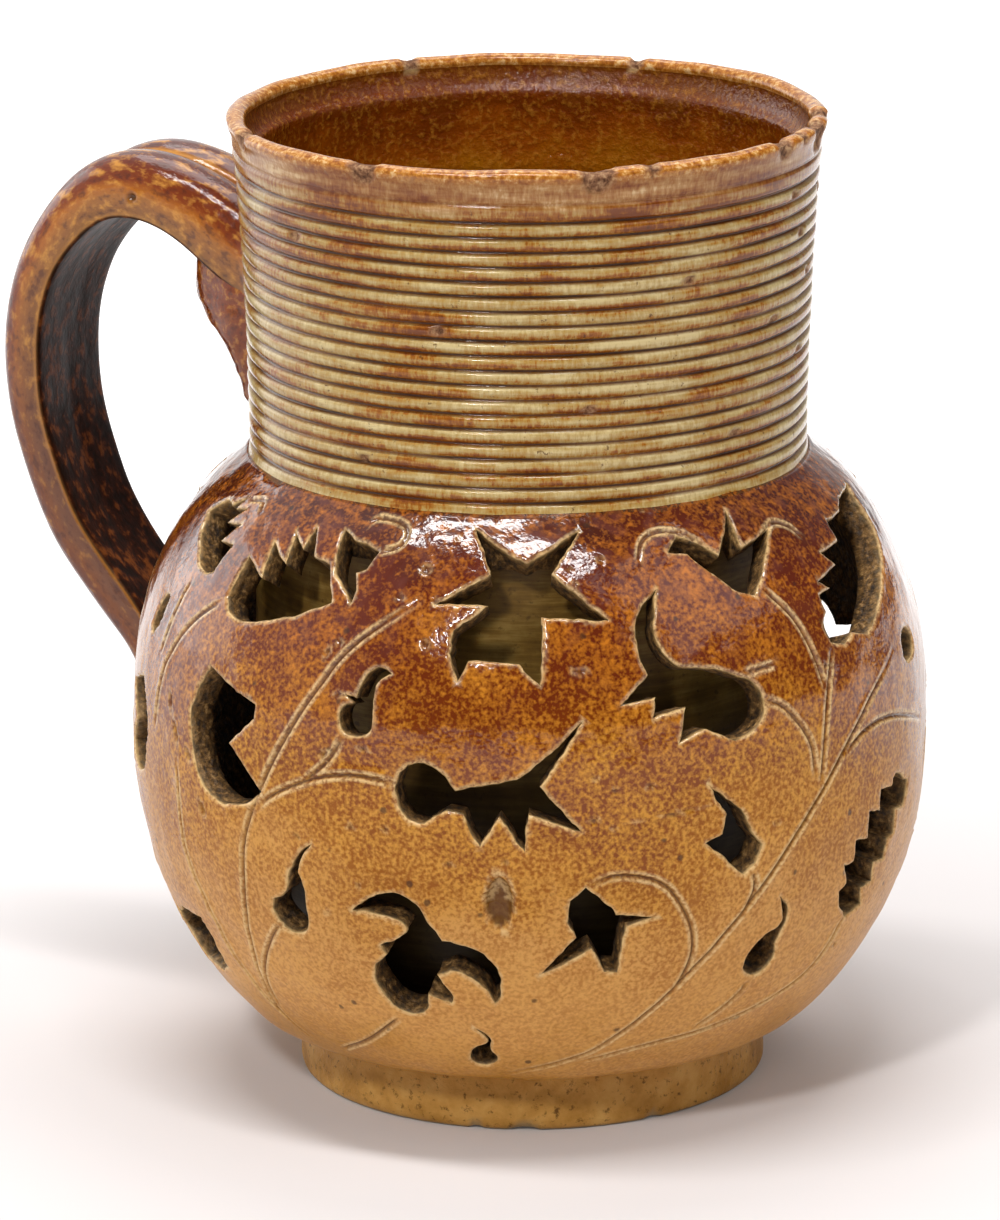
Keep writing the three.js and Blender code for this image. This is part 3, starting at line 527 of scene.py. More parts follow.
slimBud = [
    (-2.8, -1.9), (-3.6, -3.4, -2.6, -4.6), (-1.2, -5.7, 0.4, -5.3), (1.6, -5, 1.5, -2.4),
    (1.8, 0.2, 0.9, 1.9), (1.2, 3.3, 3, 5.4), (0.9, 4.4, 0.3, 2.4), (-0.4, 1.5, -0.5, 0.2),
    (-0.8, -1, -2.8, -1.9)]
curlBud = [
    (0.7, 4.8), (2.6, 3.2, 2.4, 1.3), (1.5, -0.4, 1.7, -1.4), (2.6, -3.4, 0.9, -4.6),
    (-0.8, -5.4, -2, -3.9), (-2.6, -2.6, -1.6, -1), (-0.6, 0.4, 0.6, 0.6), (1.9, 0.9, 1.8, 1.9),
    (1.7, 3, 0.7, 4.8)]
tornLeaf = [
    (11.2, 6.9), (5, 7), (2.5, 5.8), (-1.8, 5.9), (-2.6, 3.3), (-7, 3.1), (-5.2, 1.2), (-9.5, 0.3),
    (-7.9, -0.8), (-10.1, -1.1), (-10, -3), (-11.2, -4.4), (-10.6, -6.3), (-8.7, -7), (-6.9, -6),
    (-4.2, -7), (-1.5, -5.6), (1.4, -3.6), (5.7, -0.7), (8.9, 2.1), (9.4, 4.9), (11.2, 6.9)]
stepLeaf = [
    (2.8, 7.4), (1.9, 6.1), (-0.8, 6.5), (-0.7, 4.1), (-2.9, 4.5), (-2.8, 1.6), (-5, 1.8),
    (-4.8, -0.6), (-6.5, -0.5), (-5.6, -2.9), (-6.7, -3.6), (-5.8, -5.8), (-3.8, -7.4), (-1, -6.6),
    (-1.9, -4.5), (0.6, -4.4), (-0.1, -2), (2.3, -2.2), (2.3, 0.1), (3.9, 0.3), (3.5, 3),
    (6.1, 2.9), (6.7, 5.6), (2.8, 7.4)]
notchedLeaf = [
    (5.4, -2.8), (5.6, 1.4), (4.3, 3.5), (-0.7, 3.5), (-2.4, 2.2), (-4.4, 3.4), (-4.6, 0.6),
    (-6.4, -0.8), (-3.6, -2.2), (-3.2, -4), (2.6, -4), (5.4, -2.8)]


def sawLeaf(length, width, teeth):
    # half leaf: saw teeth under a sine arch above, one plain curve below
    path = [(-length / 2, 0)]
    for tooth in range(teeth):
        share = (tooth + 0.5) / teeth
        rise = 0.55 * width * math.sin(math.pi * share) + 0.6
        path += [(length * (share - 0.5), rise),
                 (length * (share - 0.5 + 0.35 / teeth), 0.35 * rise)]
    return path + [(length / 2, 0.4), (0, -width, -length / 2, 0)]


def oval(width, height):
    # four curves round an ellipse
    w, h = width / 2, height / 2
    return [(w, 0), (w, h, 0, h), (-w, h, -w, 0), (-w, -h, 0, -h), (w, -h, w, 0)]


# outline, degrees from the front, mm above the belly line, turn, size (below 0 if mirrored)
cuts = [
    (toothedFlower, -66.8, 26, -20, -0.72), (toothedFlower, -43.5, 23.6), (smallLeaf, -31.5, 25.8),
    (starFlower, -1.6, 23), (spikyFlower, 35, 26.6), (tornLeaf, 66.4, 20.9),
    (toothedFlower, 101, 23.6, 0, -1), (starFlower, 132, 22.6, 34, 0.94),
    (spikyFlower, 163, 25, 0, -1), (toothedFlower, 192, 23.4), (starFlower, 224, 22.8, 0, -0.96),
    (spikyFlower, 258, 24.6), (oval(2.2, 5.4), -73.8, 14.3, -28), (hollyLeaf, -49.4, 5.1),
    (roundBud, -24.2, 12.1), (rayFlower, -6, 3.9), (hornFlower, 24, 15.4), (splitBud, 29.8, -2.3),
    (oval(4.4, 3.6), 72.9, 10.5), (splitBud, 92, 3.5, 0, -1), (rayFlower, 117, 4, 0, -1),
    (roundBud, 138, 7, 0, -1), (hollyLeaf, 156, 5, 0, -1), (hornFlower, 184, 3.6, 14),
    (splitBud, 207, 5.4), (roundBud, 263, 9, 0, -1), (hollyLeaf, 281, 1.5, 0, -0.8),
    (stepLeaf, 60.9, -9.3), (birdFootFlower, 9.7, -12.3), (curlBud, 37.4, -15.8),
    (curledFlower, -15.5, -16), (slimBud, -36.4, -9.4), (curlBud, -9.4, -28.9, 12, 0.72),
    (notchedLeaf, -69, -21.5), (birdFootFlower, 89, -13, 0, -1), (curledFlower, 115, -15.6, 0, -1),
    (slimBud, 137, -11), (sawLeaf(15, 5.6, 5), 160, -13, 32, -1), (birdFootFlower, 184, -14.6),
    (curledFlower, 208, -15), (slimBud, 263, -12.5, 0, -1),
]
# nicks in the skin: degrees from the front, mm above the belly line, half length, half width,
# turn in degrees, depth
nicks = [
    (-28.2, 12.3, 0.9, 0.3, 0, 0.3), (-30.2, 5.9, 0.7, 0.5, 40, 0.3), (-24, 7, 0.9, 0.3, -8, 0.3),
    (-29.5, 17.6, 0.6, 0.4, 20, 0.25), (-31.2, 16.4, 0.8, 0.4, 60, 0.25),
    (-17.7, 26.4, 0.9, 0.55, 10, 0.4), (-15.1, 22.9, 0.5, 0.5, 0, 0.3),
    (-15.8, 18.3, 0.6, 0.6, 0, 0.35), (-21, 23, 0.7, 0.4, 0, 0.2), (-13.1, 30.3, 0.5, 0.4, 0, 0.25),
    (-25.9, -1.4, 0.4, 0.4, 0, 0.2), (-20.6, -1.2, 0.45, 0.3, 0, 0.2),
    (-34.7, -3.5, 0.6, 0.2, -30, 0.2), (-25.1, -7.8, 0.4, 0.35, 0, 0.25),
    (-30.7, -11.6, 0.5, 0.35, 30, 0.2), (-11.6, -4.5, 0.5, 0.3, 20, 0.2),
    (-3.6, -4.1, 0.35, 0.3, 0, 0.2), (8.9, 4.7, 0.5, 0.3, 0, 0.2), (16.7, 3.5, 0.6, 0.25, 15, 0.2),
    (11.7, 3.3, 0.35, 0.35, 0, 0.2), (8.6, 0.3, 0.7, 0.3, 10, 0.25), (11.4, -0.7, 0.4, 0.3, 0, 0.2),
    (36.7, -2.5, 0.5, 0.35, 0, 0.2), (20, 0.3, 4.2, 0.14, 6, 0.15), (7.2, 15.8, 1.0, 0.5, -5, 0.3),
    (6.7, 26.7, 0.5, 0.3, 0, 0.2), (12.2, 27.6, 0.6, 0.5, 0, 0.25), (7.4, 24.9, 0.4, 0.4, 0, 0.2),
    (22.9, 33.4, 0.7, 0.4, 10, 0.25), (-54, -3.4, 1.1, 0.55, -60, 0.5),
    (-61.3, 3.6, 1.6, 0.5, -70, 0.45), (-57.7, 1.8, 1.0, 0.4, -50, 0.3),
    (-63.4, 6.5, 1.3, 0.5, -75, 0.35), (48, 12.6, 0.5, 0.4, 0, 0.2), (55, -20.1, 0.5, 0.4, 30, 0.2),
    (97, 12, 0.6, 0.4, 20, 0.25), (121, -22, 0.7, 0.3, 60, 0.2), (148, 18, 0.5, 0.5, 0, 0.25),
    (173, 12.4, 0.8, 0.3, -20, 0.25), (199, -24, 0.5, 0.4, 0, 0.2), (214, 14, 0.6, 0.4, 40, 0.25),
    (271, 8, 0.5, 0.4, 0, 0.25),
]


def drawPath(path, step):
    # points about one step apart on straight cuts and on curves (1-t)^2 A + 2t(1-t) B + t^2 C
    runs, here = [], np.array(path[0], float)
    for stop in path[1:]:
        there = np.array(stop[-2:], float)
        pull = np.array(stop[:2], float) if len(stop) == 4 else (here + there) / 2
        length = np.linalg.norm(pull - here) + np.linalg.norm(there - pull)
        share = np.arange(0, 1, 1 / max(1, round(length / step)))[:, None]
        runs.append((1 - share) ** 2 * here + 2 * share * (1 - share) * pull + share ** 2 * there)
        here = there
    return np.concatenate(runs)


def outwardOf(loop):
    # unit normals of a closed loop that runs anticlockwise, pointing out of it
    along = unitRows(np.roll(loop, -1, 0) - np.roll(loop, 1, 0))
    return np.stack([along[:, 1], -along[:, 0]], 1)


def crossesItself(loop):
    # two sides of a loop cross where each one's ends lie on both sides of the other
    side = np.roll(loop, -1, 0) - loop

    def turnTo(points):
        offset = points[None] - loop[:, None]
        return side[:, None, 0] * offset[..., 1] - side[:, None, 1] * offset[..., 0]

    parted = turnTo(loop) * turnTo(np.roll(loop, -1, 0)) < 0
    return bool(np.any(parted & parted.T))


def placeCut(index, path, degrees, along, turned=0, size=1):
    # the outline on the flattened wall: scaled, mirrored, turned, and cut by an unsteady hand
    loop = drawPath(path, wall["edgeStep"]) * [size, abs(size)]
    c, s = math.cos(math.radians(turned)), math.sin(math.radians(turned))
    loop = loop @ np.array([[c, s], [-s, c]])
    if np.sum(loop[:, 0] * np.roll(loop[:, 1], -1) - np.roll(loop[:, 0], -1) * loop[:, 1]) < 0:
        loop = loop[::-1].copy()
    spot = np.column_stack([loop, np.full(len(loop), 7.0 * index)])
    slip = 0.13 * unevenness(spot, 1.5, 11) + 0.1 * unevenness(spot, 0.6, 12)
    for share in (1, 0.6, 0.3, 0):
        shaken = loop + outwardOf(loop) * slip[:, None] * share
        if not crossesItself(shaken):
            break
    stretch = wall["bellyRadius"] / np.interp(along, profile["along"], profile["radius"])
    return np.stack([roundFromSeam(degrees) + shaken[:, 0] * stretch, along + shaken[:, 1]], 1)


# Scored stems, as (degrees from the front, height in mm) along each line
stems = [
    [(-47, 9.9), (-50, 13.6), (-48, 21.3), (-46, 29), (-45, 33.5), (-43, 37.5), (-38, 44.6),
     (-32, 51.8), (-27, 56.5), (-18, 61.1)],
    [(-42, 38), (-38, 40.2), (-31, 42.6), (-25, 43.4), (-18, 43)],
    [(-33, 42.2), (-29.5, 44.6), (-27.4, 47.2)],
    [(-61, 40), (-60, 29.5), (-57, 23.8), (-53, 15.9), (-48, 10.4)],
    [(-38.5, 26), (-41, 24.4), (-45, 20.9), (-48, 17.2), (-49, 13.8)],
    [(-22, 15.8), (-30, 12), (-39, 9.2)],
    [(-55, 57.8), (-60, 55.3), (-64, 52), (-67, 48), (-69, 42)],
    [(-66, 58), (-67, 55), (-68, 52.5), (-69, 50)],
    [(-27.2, 64.9), (-23.5, 65.7), (-23.1, 67), (-25.4, 67.6), (-29.7, 67.7), (-31.2, 67.2)],
    [(-4, 8.6), (8, 11), (15, 14.3), (22, 19.2), (32, 27.6), (39, 33.8), (45, 38.6), (50, 42.5),
     (57, 46.6), (66, 50.4)],
    [(45, 39.8), (47, 48), (50, 53.2)],
    [(44, 40.8), (43, 44.7), (39, 48.6), (35, 50.2)],
    [(47, 49.7), (46, 53.1), (44, 57), (40, 60.4)],
    [(50, 42.1), (56, 43.9), (63, 43.9), (70, 42.6), (77, 40.9)],
    [(8, 32.4), (11, 33.4), (15, 33.2), (19, 31.9), (22, 29), (24, 25.6), (24, 22.2), (22, 18.7)],
    [(33, 31.9), (33.4, 29.9), (32, 27.4)],
    [(36, 18.5), (34, 16.5), (29, 13.7)],
    [(56, 24.6), (52, 19), (47, 16), (31, 13), (17, 11.6), (8, 10)],
    [(18.7, 64.3), (20.4, 66), (24, 66.7), (28.5, 66.3), (32, 65)],
    [(44, 64.6), (48.7, 65.6), (52, 65), (53.5, 63.9)],
    [(-64, 66.4), (-60, 66.8), (-58, 66)],
    [(32.6, 53), (38, 53.3)],
    [(80, 9.5), (84, 16), (86, 24), (87, 34), (90, 44), (95, 52), (98, 56.5)],
    [(88, 37), (94, 39.5), (101, 42), (106, 43)],
    [(105, 9), (108, 13), (112, 16.5)],
    [(84, 16), (92, 12), (103, 9.6)],
    [(124, 10), (127, 18), (129, 26), (130, 36), (131, 46), (132, 53)],
    [(130, 38), (134, 42), (137, 45)],
    [(128, 24), (133, 26), (136, 27.4)],
    [(146, 10), (147, 20), (146, 30), (147, 40), (152, 50), (158, 58)],
    [(147, 22), (152, 23.5), (155, 24.4)],
    [(170, 9.4), (171, 18), (170, 30), (170, 42), (175, 52), (183, 58)],
    [(170, 27), (176, 27), (181, 28)],
    [(171, 38), (176, 38), (178, 39)],
    [(196, 10), (197, 20), (196, 32), (198, 42), (205, 51), (214, 58)],
    [(197, 36), (202, 38), (205, 40)],
    [(222, 10.5), (225, 22), (226, 34), (229, 45), (234, 54)],
    [(225, 24), (218, 25), (214, 24)],
    [(282, 9.6), (278, 18), (273, 30), (270, 42), (266, 52), (262, 58)],
    [(272, 34), (268, 40), (265, 46)],
    [(279, 16), (270, 22), (265, 26)],
]


def drawStem(knots):
    # a smooth line through the knots on the flattened wall
    degrees, level = np.array(knots, float).T
    lowest = profile["level"].argmin()
    along = np.interp(level, profile["level"][lowest:], profile["along"][lowest:])
    return walkLine(
        throughKnots(np.stack([roundFromSeam(degrees), along], 1), 60),
        lambda length: np.linspace(0, length, max(3, round(length / wall["edgeStep"]))))[1]


def awayFrom(points, line):
    # least distance from each point to a chain of straight pieces, and the share walked there
    start, step = line[:-1], np.diff(line, axis=0)
    size = (step ** 2).sum(1) + 1e-12
    offset = points[:, None, :] - start[None]
    share = np.clip((offset * step[None]).sum(2) / size, 0, 1)
    gap = np.linalg.norm(offset - share[..., None] * step[None], axis=2)
    nearest = gap.argmin(1)
    rows = np.arange(len(points))
    return gap[rows, nearest], (nearest + share[rows, nearest]) / len(step)


def isInside(points, loop):
    # crossings of a ray to the right are odd inside a closed loop
    x, y = points[:, :1], points[:, 1:]
    (ax, ay), (bx, by) = loop.T, np.roll(loop, -1, 0).T
    at = ax + (y - ay) / np.where(by == ay, 1e-12, by - ay) * (bx - ax)
    return (np.sum(((ay > y) != (by > y)) & (x < at), axis=1) % 2) == 1


def nearBox(points, line, margin):
    # indexes of the points in the line's upright box, widened by margin
    inside = (points > line.min(0) - margin) & (points < line.max(0) + margin)
    return np.flatnonzero(np.all(inside, axis=1))


def cutDistance(points, loops, reach=3.0):
    # distance to the nearest cut edge, negative inside a cut
    found = np.full(len(points), reach)
    for loop in loops:
        close = nearBox(points, loop, reach)
        if len(close):
            gap, _ = awayFrom(points[close], np.vstack([loop, loop[:1]]))
            gap[isInside(points[close], loop)] *= -1
            found[close] = np.minimum(found[close], gap)
    return found


def stemDistance(points, lines, reach=3.0):
    # distance to the nearest scored line, and how deep it is scored there
    found, force = np.full(len(points), reach), np.zeros(len(points))
    for line in lines:
        close = nearBox(points, line, reach)
        if len(close):
            gap, share = awayFrom(points[close], line)
            nearer = gap < found[close]
            found[close[nearer]] = gap[nearer]
            ends = easeBetween(share, 0, 0.12) * easeBetween(1 - share, 0, 0.12)
            force[close[nearer]] = (ends * 0.85 + 0.15)[nearer]
    return found, force


def cellOf(points):
    # row and column in the raster, whose cells start a little before the sheet
    return (((points[:, 1] - alongLow) * wall["cellsPerMm"]).astype(int) + wall["spareCells"],
            (points[:, 0] * wall["cellsPerMm"]).astype(int) + wall["spareCells"])


def markNear(raster, points, reach):
    # fills the raster's cells within reach of the points
    cells = reach * wall["cellsPerMm"]
    span = np.arange(-int(cells), int(cells) + 1)
    down, right = np.meshgrid(span, span, indexing="ij")
    disc = down ** 2 + right ** 2 <= cells ** 2
    rows, columns = cellOf(points)
    raster[np.clip(rows[:, None] + down[disc], 0, raster.shape[0] - 1),
           np.clip(columns[:, None] + right[disc], 0, raster.shape[1] - 1)] = True


def keepClear(raster, points, margin=0.45):
    # points in the middle of the flat wall that stand on free cells, at most one per 0.3 mm
    inner = ((points > [margin, alongLow + margin])
             & (points < [girth - margin, alongHigh - margin])).all(1)
    points = points[inner]
    points = points[~raster[cellOf(points)]]
    cells = np.round(points / 0.3).astype(np.int64)
    _, first = np.unique(cells[:, 0] * 100003 + cells[:, 1], return_index=True)
    return points[np.sort(first)]


def hexGrid(step):
    # rows 0.87 step apart, every other row moved by half a step
    rows = np.arange(alongLow, alongHigh, step * 0.866)
    across, up = np.meshgrid(np.arange(0, girth, step), rows)
    across = across + (np.arange(len(rows)) % 2)[:, None] * step / 2
    return np.stack([across.ravel(), up.ravel()], 1)


def flatMesh(boundary, boundaryEdges, loops, others):
    # Delaunay triangles over the flat wall that keep the cut outlines, without their insides
    starts = len(boundary) + np.concatenate([[0], np.cumsum([len(loop) for loop in loops])])
    edges = [boundaryEdges]
    for start, loop in zip(starts, loops):
        own = start + np.arange(len(loop))
        edges.append(np.stack([own, np.roll(own, -1)], 1))
    points = np.concatenate([boundary, *loops, others])
    made = delaunay_2d_cdt([Vector(p) for p in points.tolist()],
                           np.concatenate(edges).tolist(), [], 0, 1e-6, True)
    flat = np.array([tuple(v) for v in made[0]])
    triangles = np.array(made[2])
    newIndex = np.zeros(len(points), int)
    for index, sources in enumerate(made[3]):
        newIndex[sources] = index
    middle = flat[triangles].mean(1)
    inCut = np.zeros(len(triangles), bool)
    for loop in loops:
        close = nearBox(middle, loop, 0.01)
        inCut[close[isInside(middle[close], loop)]] = True
    triangles = triangles[~inCut]
    a, b, c = (flat[triangles[:, k]] for k in range(3))
    area = (b[:, 0] - a[:, 0]) * (c[:, 1] - a[:, 1]) - (b[:, 1] - a[:, 1]) * (c[:, 0] - a[:, 0])
    triangles[area < 0] = triangles[area < 0][:, ::-1]
    triangles = triangles[np.abs(area) > 1e-9]
    print(f"flat wall: {len(points)} points given, {len(flat)} in the mesh")
    return flat, triangles, newIndex, starts


def flatBoundary(step):
    # the flat wall's four sides; its left and right sides carry the same heights
    up = np.linspace(alongLow, alongHigh, round((alongHigh - alongLow) / 0.8) + 1)
    across = np.linspace(0, girth, round(girth / step) + 1)[1:-1]
    n, m = len(up), len(across)
    points = np.concatenate([np.column_stack(np.broadcast_arrays(*pair)) for pair in (
        (0, up), (girth, up), (across, alongLow), (across, alongHigh))])
    left, right, bottom, top = np.split(np.arange(len(points)), [n, 2 * n, 2 * n + m])
    chains = (left, right, [0, *bottom, n], [n - 1, *top, 2 * n - 1])
    edges = np.concatenate([np.stack([chain[:-1], chain[1:]], 1) for chain in chains])
    return points, edges, left, right, {0: bottom, -1: top}


def skinLift(flat, loops, lines):
    # height of the skin above the profile, in mm, with the marks the materials read
    gap = np.abs(cutDistance(flat, loops))
    score, force = stemDistance(flat, lines)
    spot = wallPoints(flat, 0)
    ragged = 0.6 + 0.4 * unevenness(spot, 2.2, 3)
    torn = np.clip(0.55 + 0.75 * unevenness(spot, 0.8, 7), 0, 1.3)
    lift = 0.1 * ragged * torn * hump(gap, 0.28, 0.17) - 0.13 * hump(gap, 0, 0.1)
    lift += force * (-0.34 * hump(score, 0, 0.17) + 0.15 * ragged * hump(score, 0.4, 0.15))
    lift += 0.16 * unevenness(spot, 9, 4) + 0.07 * unevenness(spot, 3.4, 5)
    # faint turning rings left by the thrower
    lift += 0.05 * unevenness(spot * [0, 0, 1], 1.7, 6)
    # thumbed pit: a shallow oval dent
    degrees, pitAlong, halfWidth, halfHeight, depth = wall["thumbedPit"]
    oval2 = (((flat[:, 0] - roundFromSeam(degrees)) / halfWidth) ** 2
             + ((flat[:, 1] - pitAlong) / halfHeight) ** 2)
    lift -= depth * np.clip(1 - oval2, 0, 1) ** 0.7 - 0.12 * hump(np.sqrt(oval2), 1.18, 0.12)
    # nicks: small turned ovals with a raised rim
    nicked, rimmed = np.zeros(len(flat)), np.zeros(len(flat))
    for degrees, along, halfLength, halfWidth, turned, depth in nicks:
        c, s = math.cos(math.radians(turned)), math.sin(math.radians(turned))
        across, up = flat[:, 0] - roundFromSeam(degrees), flat[:, 1] - along
        away = np.hypot((across * c + up * s) / (0.75 * halfLength),
                        (up * c - across * s) / (0.75 * halfWidth))
        lift += 0.06 * hump(away, 1.3, 0.3) - depth * dent(away, 0)
        nicked = np.maximum(nicked, hump(away, 0, 0.75))
        rimmed = np.maximum(rimmed, hump(away, 1.25, 0.28))
    patchy = easeBetween(unevenness(spot, 3.1, 8), -0.75, 0.3)
    beads = easeBetween(unevenness(spot, 0.55, 9), -0.5, 0.2)
    speckled = 0.55 * (oval2 < 0.8) * (flat[:, 1] > pitAlong)
    bared = (1.3 * hump(gap, 0.05, 0.15) * (0.2 + 0.35 * patchy + 0.6 * beads)
             + 1.25 * force * (0.35 + 0.35 * patchy + 0.3 * beads) * hump(score, 0.4, 0.16)
             + (0.9 * hump(np.sqrt(oval2), 1.1, 0.12) + speckled) * beads + 0.4 * rimmed)
    scored = force * hump(score, 0, 0.17) + easeBetween(oval2, 1.0, 0.8) + nicked
    return lift, np.clip(bared, 0, 1), np.clip(scored, 0, 1)


def spreadPoints(loops, lines):
    # points over the flat wall: rows along the cuts and the scored lines, a fine grid at the
    # nicks and the pit, a middling one near the cuts and an open one elsewhere
    height, width = (int(size * wall["cellsPerMm"]) + 2 * wall["spareCells"]
                     for size in (alongHigh - alongLow, girth))
    raster = np.zeros((height, width), bool)
    markNear(raster, np.concatenate(loops), reach=0.16)
    kept = []

    def keep(points, reach, margin=0.45):
        kept.append(keepClear(raster, points, margin))
        markNear(raster, kept[-1], reach)

    for offset in wall["rowsByCut"]:
        keep(np.concatenate([loop + outwardOf(loop) * offset for loop in loops]), reach=0.2)
    across = [unitRows(np.gradient(line, axis=0)) @ [[0, -1], [1, 0]] for line in lines]
    for offset in wall["rowsByStem"]:
        keep(np.concatenate(lines) + np.concatenate(across) * offset, reach=0.12)
    fine = hexGrid(wall["nickStep"])
    byNick = np.zeros(len(fine), bool)
    for degrees, along, halfLength, *_ in nicks + [(*wall["thumbedPit"][:2], 2.9)]:
        away = fine - np.array([roundFromSeam(degrees), along])
        byNick |= np.hypot(*away.T) < halfLength + 0.6
    keep(fine[byNick], reach=0.15)
    markNear(raster, np.concatenate([*loops, *kept]), reach=0.42)
    middle = hexGrid(wall["middleStep"])
    gap = np.minimum(cutDistance(middle, loops), stemDistance(middle, lines)[0])
    keep(middle[gap < wall["middleReach"]], reach=0.7)
    keep(hexGrid(wall["openStep"]), reach=0, margin=0.7)
    spread = np.concatenate(kept)
    plain = hexGrid(wall["liningStep"])
    return (spread[cutDistance(spread, loops) > 0.1],
            keepClear(np.zeros_like(raster), plain[cutDistance(plain, loops) > 0.8]))


def buildWall():
    # skin and lining are the same flat sheet with the same cuts, rolled up 3 mm apart
    loops = [placeCut(index, *cut) for index, cut in enumerate(cuts)]
    lines = [drawStem(knots) for knots in stems]
    boundary, boundaryEdges, left, right, levelSides = flatBoundary(wall["boundaryStep"])
    close, sparse = spreadPoints(loops, lines)
    flat, faces, newIndex, starts = flatMesh(boundary, boundaryEdges, loops, close)
    lift, bared, scored = skinLift(flat, loops, lines)
    toEnd = np.minimum(flat[:, 1] - alongLow, alongHigh - flat[:, 1])
    edgeFade = np.clip(toEnd / wall["calmEdge"], 0, 1)
    lining, liningFaces, liningIndex, _ = flatMesh(boundary, boundaryEdges, loops, sparse)
    liningIndex = len(flat) + liningIndex
    low, high = wall["liningEnds"]
    squeeze = np.clip(lining[:, 1], alongLow + low, alongHigh - high)
    points = [wallPoints(flat, -lift * edgeFade),
              wallPoints(np.stack([lining[:, 0], squeeze], 1), wall["thickness"])]
    bared, count = [bared, np.zeros(len(lining))], len(flat) + len(lining)
    cutFaces = [len(flat) + liningFaces[:, ::-1]]

    # cut sides: rows of the outline at growing depths, a little rough, down to the lining
    for loop, start in zip(loops, starts):
        own = np.arange(len(loop))
        rows = [newIndex[start + own]]
        for depth in wall["sideRows"]:
            rough = np.column_stack([loop, np.full(len(loop), depth * 1.3)])
            slip = 0.07 * unevenness(rough, 0.7, 21) + 0.05 * unevenness(rough, 1.9, 22)
            slip += 0.1 * hump(depth, 0.3, 0.3)
            points.append(wallPoints(loop - outwardOf(loop) * slip[:, None], depth))
            bared.append(np.full(len(loop), 0.5 * hump(depth, 0, 0.3)))
            rows.append(count + own)
            count += len(loop)
        rows.append(liningIndex[start + own])
        cutFaces += [strip(upper, lower) for upper, lower in zip(rows, rows[1:])]

    # the floor's two faces end at poles, and a strip joins skin and lining under the neck
    points.append([[0, 0, wall["footLevel"]], [0, 0, wall["floorLevel"]]])
    outer, inner = ({edge: index[[left[edge], *side]] for edge, side in levelSides.items()}
                    for index in (newIndex, liningIndex))
    cutFaces += [fan(outer[0], count)[:, ::-1], fan(inner[0], count + 1),
                 strip(outer[-1], inner[-1])]

    # the wall's right side is its left side
    points = np.concatenate(points)
    same = np.arange(len(points))
    for index in (newIndex, liningIndex):
        same[index[right]] = index[left]
    slots = np.repeat([0, 1], [len(faces), sum(map(len, cutFaces))])
    faces = same[np.concatenate([faces, *cutFaces])]
    whole = np.all(faces != np.roll(faces, 1, 1), axis=1)
    used, faces = np.unique(faces[whole], return_inverse=True)
    bared, scored = (np.pad(mark, (0, len(points) - len(mark)))[used]
                     for mark in (np.concatenate(bared), scored))
    return makePiece("piercedWall", points[used], faces.reshape(-1, 3), "pierced_wall",
                     [brownSaltGlaze(), knifeCutClay()],
                     {"bared": bared, "scored": scored}, slots[whole])


piercedWall = buildWall()


# drinking vessel

vessel = {
    "height": 105.0, "seatLevel": 68.38, "base": 10.0, "floor": 13.5,
    "neckRadius": 29.8, "neckFlare": 1.7, "linerRadius": 29.3,
    "reedPitch": 1.56, "reeds": 20, "topGroove": 99.4, "grooveDepth": 0.42,
    "lineLevel": 101.4, "lipRadius": 31.85, "lipThickness": 2.2,
    "columns": 328, "chipsAt": 31.8, "bruisesAt": 30.5,  # radius in mm
    # chips in the lip: degrees from the front, half width in mm, depth in mm
    "chips": [(-71, 1.6, 0.5), (-32.5, 1.9, 0.35), (13.1, 2.1, 0.35), (23.9, 0.9, 0.3),
              (58, 1.6, 0.5), (66, 0.9, 0.3), (76, 2.6, 0.7), (88, 2.0, 0.7), (157, 1.0, 0.6),
              (205, 1.2, 0.4)],
    # bruises along the reeds, most of them on the right: degrees from the front, level
    "bruises": [(64, 98.6), (69, 94.0), (75, 89.2), (58, 85.9), (71, 81.3), (33, 92.3),
                (-18, 87.8), (-52, 95.6), (12, 79.6), (83, 97.1), (120, 90.9), (168, 84.7),
                (46, 75.0), (-35, 73.3)],
}


def neckCurve(level):
    # r = r0 + flare ((z - z0) / (h - z0))^2
    rise = (level - vessel["seatLevel"]) / (vessel["height"] - vessel["seatLevel"])
    return vessel["neckRadius"] + vessel["neckFlare"] * rise ** 2


def turnLine(line, columns):
    # rows of points round the axis, their angles and levels, and a function that moves the
    # points by a lift along each row's normal
    azimuth = np.linspace(0, 2 * math.pi, columns, endpoint=False)[None]
    radius, level = line.T[..., None]
    grid = around(radius, azimuth, level)
    a, b = np.gradient(line, axis=0).T[..., None]
    size = np.hypot(a, b) + 1e-9

    def raised(lift):
        return grid + around(lift * b / size, azimuth, -lift * a / size)

    return grid, azimuth, level, raised


def roundTo(azimuth, degrees, radius):
    # mm round a circle from an azimuth to a place counted in degrees from the front
    turn = (np.degrees(azimuth) - frontAzimuth - degrees + 180) % 360 - 180
    return np.radians(turn) * radius


